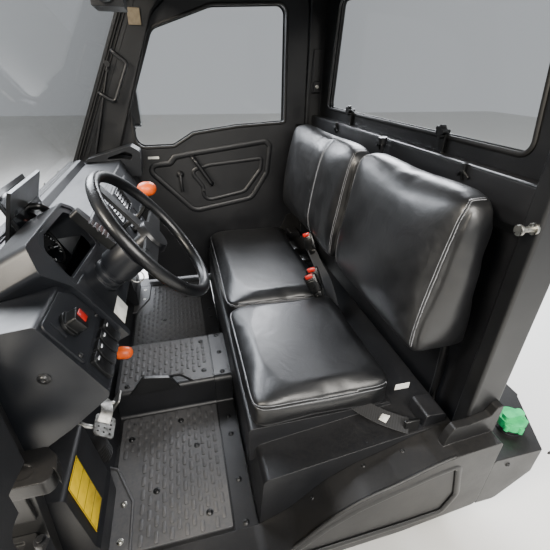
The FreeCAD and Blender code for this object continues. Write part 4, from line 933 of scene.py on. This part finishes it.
def doorOutline(inset, low, notch):
    lean = math.tan(screenLean)
    front = -472 + inset
    crown = 1610 - inset
    topY = -606 + (1610 - 880) * lean
    return [(front + 80, 184 + low), (front + 80, notch + inset, 20), (front, notch + inset, 14),
            (front, 880, 60), (front + 620 * lean - 60, 1500 - inset, 150), (topY + 150 + inset, crown, 60),
            (480, crown, 40), (540 - inset, 1560 - inset, 40), (540 - inset, 552 + low, 30),
            (430, 512 + low, 40), (396, 436 + low, 40), (302, 388 + low, 120), (146, 322 + low, 90),
            (46, 232 + low, 90), (-30, 184 + low, 80)]


def makeDoor(side):
    place, turn, body = onDoor(side)
    tag = "Left" if side > 0 else "Right"
    inner, mid, outer = doorPlane.values()
    inward = turn(-leftward)
    outward = turn(leftward)
    axes = (outward, turn(rearward), upward)

    seals = newPiece("doorSeals" + tag, "epdmSeal", "dash_moulding", body)
    addStrip(seals, loopOn("x", inner, doorWindow, place=place), inward, sealSection, True)
    addStrip(seals, loopOn("x", outer, doorWindow, place=place), outward, sealSection, True)
    outline = doorOutline(24, 18, notchHigh[tag.lower()])
    addTube(seals, loopOn("x", mid - 0.6, outline, place=place), 5.2, closed=True)
    beads = newPiece("doorPanelBeads" + tag, "absDoorGrained", "dash_moulding", body)
    addStrip(beads, loopOn("x", inner, doorField, 6, place), inward,
             [(-15, -1), (-9, 2.6), (0, 3.6), (9, 2.6), (15, -1)], True)
    addStrip(beads, loopOn("x", inner + 4, doorPocket, 6, place), inward,
             [(-12, -1), (-7, 3.0), (0, 4.2), (7, 3.0), (12, -1)], True)
    pull = [(inner - 2, -78, 886), (inner - 24, -72, 876), (inner - 30, -30, 808), (inner - 26, 6, 750),
            (inner - 2, 12, 740)]
    addTube(beads, through(pull, 5, place), 11, 10, flat=0.8)
    lever = [(inner - 14, -146, 796), (inner - 22, -145, 750), (inner - 18, -143, 712)]
    addTube(beads, through(lever, 4, place), 8, 10, flat=0.7)
    addTurned(beads, place(inner + 1, -146, 796), inward, [(19, 0), (19, 5), (15, 9), (9, 14)], 20)
    skin = newPiece("doorSkinTrim" + tag, "polyethyleneSatin", "body_panel", body)
    addStrip(skin, loopOn("x", outer, doorPress, place=place), outward,
             [(-8, -1), (-4, 3.0), (4, 3.0), (8, -1)], True)
    grip = [(outer, 340, 1000), (outer + 24, 346, 1000), (outer + 32, 356, 998), (outer + 32, 450, 990),
            (outer + 24, 460, 988), (outer, 466, 988)]
    addTube(skin, through(grip, 5, place), 8.5, 10, flat=0.7)
    catch = newPiece("doorCatch" + tag, "zincPlatedSteel", "zinc_steel", body)
    addBlock(catch, place(mid - 14, 478, 1040), (30, 40, 20), axes, 2)
    for y, z, size in ((-360, 452, 0.8), (-420, 782, 0.8), (-360, 782, 0.8), (-402, 986, 0.7)):
        addTurned(catch, place(outer + 6, y, z), outward, hexHead, 6, size)
    # a thin white strip at the waist of the trim paints the bright highlight on a moulded ridge; it is no
    # label
    whiteFilmPiece = newPiece("doorPaintedHighlight" + tag, "whiteFilmForLabelsAndHighlight", "dash_moulding", body)
    addBlock(whiteFilmPiece, place(inner - 0.4, -266, 884), (0.8, 52, 12), axes, 0.2)
    glass = newPiece("mirrorGlass" + tag, "silveredGlass", "zinc_steel", body)
    addRings(glass, [loopOn("y", y, doorMirror, 6, place) for y in (-309.2, -307.6)])


def makeDoors():
    makeDoor(1)
    makeDoor(-1)
    belowNotch = slabBox((690, 800), (-500, -392), (670, notchHigh["left"]), onDoor(1)[0])
    carvedCopy("door_left", "doorLeftShell", "absDoorGrained", "dash_moulding", "door_left_body",
               box=belowNotch)


def makePaneSeals():
    heap = newPiece("paneSeals", "epdmSeal", "frame_steel")
    for y, face in ((589, -rearward), (611, rearward)):
        addStrip(heap, loopOn("y", y, rearWindow), face, sealSection, True)
    out = Vector((0, -math.cos(screenLean), math.sin(screenLean)))
    rise = Vector((0, math.sin(screenLean), math.cos(screenLean)))
    rim = roundedLoop(rectangle(-676, 6, 676, 780, 14), 6)
    for sunk, face in ((0, out), (5.5, -out)):
        path = [at(p.x, -612, 880) + (rise * p.y - out * sunk) * mm for p in rim]
        addStrip(heap, path, face, [(-7, 0), (-7, 3), (0, 4), (7, 3), (7, 0)], True)


# Belts: how each run of webbing faces and the places that it passes, the outer ones on both sides
webbingSection = [(-23, -0.7), (-23, 0.7), (23, 0.7), (23, -0.7)]
lapBelt = [(560, 258, 433), (606, 286, 434), (648, 318, 437), (676, 352, 436), (692, 378, 434)]
shoulderBelt = [(693, 566, 560), (693, 562, 800), (693, 556, 1000), (693, 548, 1180)]
middleBelts = [((0.3, -0.9, 0.3), [(128, 392, 452), (60, 384, 520), (-20, 372, 560), (-90, 358, 610)]),
               ((1, -0.2, 0), [(122, 330, 440), (124, 326, 490), (126, 316, 540)])]
# Buckles: middle, the way the latch points, the way its button side faces
buckles = [((132, 292, 572), (-0.45, -0.35, 0.82), (0.75, -0.5, 0.3)),
           ((104, 306, 584), (-0.35, -0.25, 0.9), (0.75, -0.5, 0.3)),
           ((-96, 352, 640), (-0.5, -0.2, 0.84), (0.6, -0.7, 0.3))]


def makeBelts():
    webbing = newPiece("beltWebbing", "wovenPolyester", "webbing")
    runs = list(middleBelts)
    for side in (1, -1):
        runs.append(((side * 0.1, -0.25, 1), [(side * x, y, z) for x, y, z in lapBelt]))
        runs.append(((-side, 0, 0), [(side * x, y, z) for x, y, z in shoulderBelt]))
    for face, stops in runs:
        addStrip(webbing, through(stops), Vector(face).normalized(), webbingSection)
    tags = newPiece("beltTag", "whiteFilmForLabelsAndHighlight", "webbing")
    askew = Vector((0.79, 0.61, 0))
    addBlock(tags, at(655, 326, 439.6), (20, 34, 1.2), (askew, upward.cross(askew), upward), 0.3)
    addBlock(tags, at(614, 392, 500), (1.2, 44, 20), bevel=0.3)


def makeBuckles():
    cases = newPiece("buckleCases", "nylonBlack", "webbing", replaced=("belt_buckles",))
    buttons = newPiece("buckleButtons", "redNylon", "webbing")
    for middle, latch, facing in buckles:
        along = Vector(latch).normalized()
        face = Vector(facing)
        face = (face - along * along.dot(face)).normalized()
        axes = (along.cross(face).normalized(), along, face)
        spot = at(*middle)
        addBlock(cases, spot, (46, 74, 22), axes, 5)
        addBlock(cases, spot - along * 44 * mm, (30, 22, 8), axes, 2)
        for rib in (10, 17, 24, 31):
            addBlock(cases, spot + along * rib * mm + face * 11 * mm, (36, 2.6, 3), axes, 0.6)
        addBlock(buttons, spot + along * 30 * mm + face * 7 * mm, (30, 16, 12), axes, 2)
    addBlock(cases, at(-315, 356, 524), (92, 26, 9), bevel=3)
    addBlock(cases, at(-200, 372, 508), (60, 40, 16), bevel=4)
    for side in (-1, 1):
        addBlock(cases, at(side * 694, 384, 436), (10, 44, 44), bevel=3)


# Yellow plate: blank fields between thin printed lines, from its top left corner
yellowPlate = {"corner": (595, -463, 458), "wide": 84.0, "long": 186.0, "lean": 0.109, "fields": 4,
               "line": 1.8}


def makeYellowPlate():
    wide, long, line = yellowPlate["wide"], yellowPlate["long"], yellowPlate["line"]
    down = Vector((0, yellowPlate["lean"], -1)).normalized()
    out = Vector((0, 1, yellowPlate["lean"])).normalized()
    axes = (leftward, down, out)

    def onPlate(x, y, rise):
        return at(*yellowPlate["corner"]) + (leftward * x + down * y + out * (1.6 + rise)) * mm

    plate = newPiece("yellowPlate", "yellowPrintedFilm", "yellow_plate", replaced=("kick_plate",))
    addBlock(plate, onPlate(wide / 2, long / 2, 0), (wide, long, 1.4), axes, 0.4)
    lines = newPiece("yellowPlateLines", "nylonBlack", "yellow_plate")
    for i in range(yellowPlate["fields"] + 1):
        share = 0.01 + 0.98 * i / yellowPlate["fields"]
        addBlock(lines, onPlate(wide / 2, long * share, 0.8), (wide - 2, line, 0.5), axes, 0.1)
    for x in (1.2, wide - 1.2):
        addBlock(lines, onPlate(x, long / 2, 0.8), (line, long - 2, 0.5), axes, 0.1)


# Drilled service brake pad and the plate above it
pedalPad = {"place": (400, -452, 322), "wide": 76.0, "high": 62.0, "thick": 4.4, "hole": 3.8, "lean": 40.0}


def makeBrakePad():
    x, y = pedalPad["wide"] / 2, pedalPad["high"] / 2
    loops = [[tuple(p) for p in roundedLoop(rectangle(-x, -y, x, y, 9), 5)]]
    turns = [(math.cos(a) * pedalPad["hole"], math.sin(a) * pedalPad["hole"])
             for a in [math.tau * k / 14 for k in range(14)]]
    loops += [[(x + dx, y + dy) for dx, dy in turns] for x in (-24, -8, 8, 24) for y in (-18, 0, 18)]
    curve = bpy.data.curves.new("padOutline", "CURVE")
    curve.dimensions = "2D"
    curve.fill_mode = "BOTH"
    curve.extrude = pedalPad["thick"] / 2 * mm
    curve.bevel_depth = 0.5 * mm
    for loop in loops:
        line = curve.splines.new("POLY")
        line.points.add(len(loop) - 1)
        line.use_cyclic_u = True
        for point, (x, y) in zip(line.points, loop):
            point.co = (x * mm, y * mm, 0, 1)
    shape = linked("padOutline", curve)
    data = evaluated(shape)
    bpy.data.objects.remove(shape)
    lean = Matrix.Rotation(math.radians(-pedalPad["lean"]), 4, "X")
    data.transform(Matrix.Translation(at(*pedalPad["place"])) @ lean)
    register(linked("brakePad", data), "drilledSteelPlate", "drilled_steel", replaced=("brake_pedal",))


def makeBrakeArm():
    x, y, z = pedalPad["place"]
    heap = newPiece("brakeArm", "drilledSteelPlate", "drilled_steel")
    stops = [(x, y - 6, z - 4), (x - 4, y - 60, z + 20), (x - 8, y - 110, z + 110), (x - 8, -610, 480)]
    addTube(heap, through(stops), 8.5, 10, flat=0.7)
    addTurned(heap, at(x - 30, -600, 482), leftward, [(13, 0), (13, 44)], 18)
    guard = through([(352, -452, 388), (380, -436, 396), (412, -430, 392), (436, -440, 376)])
    addStrip(heap, guard, Vector((0, 0.55, 0.83)), [(-17, -1.5), (-17, 1.5), (17, 1.5), (17, -1.5)])
    boot = newPiece("pedalBoot", "epdmSeal", "mat_rubber")
    for i in range(7):
        pleat = [(48 - i * 3, 0), (53 - i * 3, 3), (53 - i * 3, 6), (45 - i * 3, 10)]
        addTurned(boot, at(388, -506 + i * 1.5, 168 + i * 10), Vector((0, -0.2, 1)), pleat, 30)


def makeLevers():
    knob = newPiece("gearKnob", "orangeNylon", "orange_knob", replaced=("gear_lever",))
    bulb = [(11, -6), (22, -1), (27, 8), (28, 15), (26.5, 22), (22, 28), (14, 32.5), (5, 34.4), (0.5, 34.6)]
    addTurned(knob, at(100, -250, 940), upward, bulb, 32)
    pull = newPiece("parkingBrakeKnob", "orangeNylon", "orange_knob", replaced=("hand_brake",))
    grip = [(9, -6), (16, -2), (19.5, 6), (20, 20), (19, 32), (15, 41), (7, 46), (0.5, 47)]
    addTurned(pull, at(289, -396, 503), Vector((0, 1, -0.12)), grip, 28)
    stems = newPiece("leverStems", "nylonBlack", "switch_black")
    lever = [at(100, -250, 938), at(100, -278, 880), at(100, -330, 842), dashPoint(100, 0.6, 1)]
    addTube(stems, smoothed(lever, 6), 7, 12)
    boot = [(30, 0), (30, 3), (22, 6), (20, 12), (14, 15), (12, 22), (8, 24)]
    addTurned(stems, dashPoint(100, 0.6, 0.5), dashOut, boot, 24)
    addTube(stems, through([(289, -398, 503), (290, -470, 530), (292, -560, 560), (292, -598, 566)]), 6.5, 12)
    addTurned(stems, at(292, -600, 566), rearward, [(20, 0), (20, 4), (12, 8), (9, 20)], 20)


def makePillarTrim():
    cover = newPiece("pillarCover", "powderCoatedSteel", "frame_steel")
    outline = [(-556, 905), (-428, 900), (-196, 1480, 60), (-120, 1572), (-255, 1582)]
    addRings(cover, [loopOn("x", x, outline, 6) for x in (-686, -706)])
    seal = newPiece("pillarSeals", "epdmSeal", "frame_steel")
    stops = ((-424, 905), (-366, 1050), (-270, 1290), (-196, 1475), (-130, 1560))
    addTube(seal, through([(-700, y, z) for y, z in stops]), 5.5)
    for step in (0, 13):
        addTube(seal, [at(-682, -590 + step, 905), at(-682, -300 + step, 1492)], 3.2)
    bracket = newPiece("headerBracket", "sandPolyamide", "frame_steel")
    addBlock(bracket, at(-681, -262, 1458), (5, 50, 60), bevel=2)
    carvedCopy("grab_handles", "pillarHandle", "polypropyleneStippled", "moulding", keep=lambda p: p.x < 0)


def makeFloorTrim():
    plate = newPiece("floorFlange", "nitrileMat", "moulding")
    edge = newPiece("floorFlangeEdge", "nitrileMat", "moulding")
    screws = newPiece("floorFlangeScrews", "zincPlatedSteel", "zinc_steel")
    lip = [(407, -518), (444, -437), (559, -383), (700, -383)]
    rim = [(407, -516), (444, -437), (559, -383), (700, -381)]
    for side in (-1, 1):
        outline = [(440, -560)] + lip + [(700, -500), (600, -560)]
        addRings(plate, [[at(side * x, y, z) for x, y in outline] for z in (160.4, 168.6)])
        addTube(edge, spread([at(side * x, y, 169) for x, y in rim], 18), 4.2, 10)
        for x, y in ((470, -470), (560, -408), (660, -408)):
            addScrew(screws, at(side * x, y, 168.6), upward, 1.0, True)
    carvedCopy("kick_panels", "wheelArchCovers", "polypropyleneStippled", "moulding",
               box=slabBox((-760, 760), (-434, -300), (166, 620)))
    bracket = newPiece("tunnelBracket", "powderCoatedSteel", "frame_steel")
    outline = [(-404, 264), (-347, 340, 10), (-260, 324, 10), (-229, 268)]
    addRings(bracket, [loopOn("x", x, outline, 4) for x in (229, 241)])


# Side panels: the welt round the sunk field and the rolled lip along the top, as (y, z, corner radius)
sideField = [(-600, 156, 8), (-50, 156, 60), (20, 172, 100), (128, 262, 120), (200, 304, 200),
             (300, 338, 200), (400, 370, 60), (470, 384, 20), (500, 250, 40), (470, 176, 20),
             (350, 164, 200), (-100, 140, 200), (-600, 136, 8)]
sideLip = [(-686, 166), (-60, 166), (40, 208), (92, 256), (146, 301), (220, 341), (302, 369), (404, 409),
           (452, 421)]


def makeSideTrim():
    lines = newPiece("sidePanelLines", "polyethyleneSatin", "body_panel")
    for side in (-1, 1):
        welt = spread(loopOn("x", side * 800, sideField), 40, True)
        addStrip(lines, welt, leftward * side, [(-11, -1.5), (-6, 2.6), (0, 3.6), (6, 2.6), (11, -1.5)], True)
        addTube(lines, spread(through([(side * 796, y, z) for y, z in sideLip]), 30), 5.0, 12)
    seal = newPiece("sillSeal", "epdmSeal", "moulding")
    outline = [(372, 404), (372, 436, 8), (398, 470, 20), (428, 540, 20), (508, 560, 6), (508, 424)]
    addRings(seal, [loopOn("x", x, outline, 4) for x in (-706, -711)])


def makeCowlTrim():
    welts = newPiece("cowlWelts", "polyethyleneSatin", "body_panel")
    face = -690.5
    outline = [(-600, 380, 40), (600, 380, 40), (560, 800, 40), (-560, 800, 40)]
    addStrip(welts, spread(loopOn("y", face, outline), 60, True), -rearward,
             [(-9, -0.2), (-5, 2.4), (5, 2.4), (9, -0.2)], True)
    for x in (-300, 0, 300):
        addStrip(welts, spread([at(x, face, 430), at(x, face, 750)], 60), -rearward,
                 [(-16, -0.2), (-11, 2.4), (11, 2.4), (16, -0.2)])
    screws = newPiece("cowlScrews", "zincPlatedSteel", "zinc_steel")
    for x in (-650, -430, -150, 150, 430, 650):
        for z in (330, 846):
            addScrew(screws, at(x, -690, z), -rearward, 1.2, True)


def makeRearTrim():
    plates = newPiece("beltAnchorPlates", "powderCoatedSteel", "frame_steel")
    bolts = newPiece("beltAnchorBolts", "zincPlatedSteel", "zinc_steel")
    for side in (-1, 1):
        addBlock(plates, at(side * 690, 556, 1268), (8, 44, 190), bevel=2)
        addBlock(plates, at(side * 682, 556, 1202), (10, 34, 50), bevel=2)
        addTurned(bolts, at(side * 677, 556, 1202), -leftward * side, hexHead, 6, 1.1)
    clips = newPiece("rearWallClips", "nylonBlack", "switch_black")
    for x in (-353, 44, 469):
        addBlock(clips, at(x, 538, 1064), (13, 12, 26), bevel=2)
        for lean in (-0.9, 0.0, 0.9):
            arm = Vector((math.sin(lean), 0.25, -math.cos(lean)))
            addBlock(clips, at(x, 533, 1060) + arm * 14 * mm, (6, 7, 26), frameOf(arm), 1.5)
    for x in (-311, 309):
        addBlock(clips, at(x, 583, 1098), (26, 12, 60), bevel=2)
    addTube(clips, [at(x, 546.5, 1072) for x in (-680, 680)], 3.5)
    ribs = newPiece("rearWallRibs", "polypropyleneStippled", "moulding")
    for x in (-500, -250, 0, 250, 500):
        addBlock(ribs, at(x, 598, 640), (40, 6, 560), bevel=2.4)


def makeRoofTrim():
    ribs = newPiece("roofRibs", "roofPolyethylene", "body_panel")
    for x in (-520, -260, 0, 260, 520):
        run = [at(x, y, z) for y, z in ((-240, 1668.4), (0, 1675), (300, 1684.5), (570, 1692.6))]
        addStrip(ribs, run, upward, [(-26, -3), (-18, 5), (18, 5), (26, -3)])
    liner = newPiece("roofLiner", "polypropyleneStippled", "moulding")
    addBlock(liner, at(0, 165, 1655), (1296, 680, 6), bevel=2)
    for x in (-330, 0, 330):
        addBlock(liner, at(x, 165, 1651), (220, 560, 5), bevel=2)


# Stage: pale floor and soft lights
def makeStage():
    wide = 12.0
    data = bpy.data.meshes.new("studioFloor")
    corners = [(x, y, -0.001) for x, y in ((-wide, -wide), (wide, -wide), (wide, wide), (-wide, wide))]
    data.from_pydata(corners, [], [(0, 1, 2, 3)])
    material = newMaterial("paleFloor")
    spot = [(addNode(material, "TexCoord", output="Object"), "Vector")]
    patch = addNode(material, "TexNoise", {"Scale": 1.2, "Detail": 4.0}, spot)
    colour = addNode(material, "Mix", blend("#d4d3cf", "#dcdbd8"), [(patch, 0)], 2)
    data.materials.append(closeSurface(material, {"Roughness": 0.75}, [(colour, "Base Color")]))
    linked("studioFloor", data)
    world = bpy.data.worlds.new("studio")
    world.use_nodes = True
    sky = world.node_tree.nodes["Background"]
    sky.inputs["Color"].default_value = hexColour("#e8edf2")
    sky.inputs["Strength"].default_value = 0.62
    bpy.context.scene.world = world


# place, aim (mm), width and height (m), watts, colour
lamps = {
    "farSkyLamp": ((-2700, 1250, 2900), (0, 150, 600), (2.8, 2.0), 520, "#f6f9ff"),
    "screenLamp": ((-2900, -1700, 3300), (100, -300, 850), (2.8, 2.0), 520, "#f2f7ff"),
    "doorLamp": ((3000, 400, 2600), (200, 0, 500), (2.2, 1.8), 210, "#fffaf2"),
    "sunLamp": ((1900, -2600, 3000), (350, -100, 300), (0.9, 0.9), 300, "#fff4e2"),
}


def makeLamps():
    for name, (place, aim, size, watts, colour) in lamps.items():
        data = bpy.data.lights.new(name, "AREA")
        data.shape = "RECTANGLE"
        data.size, data.size_y = size
        data.energy = watts
        data.color = hexColour(colour)[:3]
        light = linked(name, data)
        light.location = at(*place)
        light.rotation_mode = "QUATERNION"
        light.rotation_quaternion = (at(*aim) - light.location).to_track_quat("-Z", "Y")


for make in (makeMats, makeScrews, makeSwitchTrim, makeHeaterPanel, makeGauges, makeDisplay, makeDoors,
             makePaneSeals, makeBelts, makeBuckles, makeYellowPlate, makeBrakePad, makeBrakeArm, makeLevers,
             makePillarTrim, makeFloorTrim, makeSideTrim, makeCowlTrim, makeRearTrim, makeRoofTrim, makeStage,
             makeLamps):
    make()
    print("done:", make.__name__)
for heap in heaps:
    meshPiece(heap)
print("pieces meshed:", len(heaps))
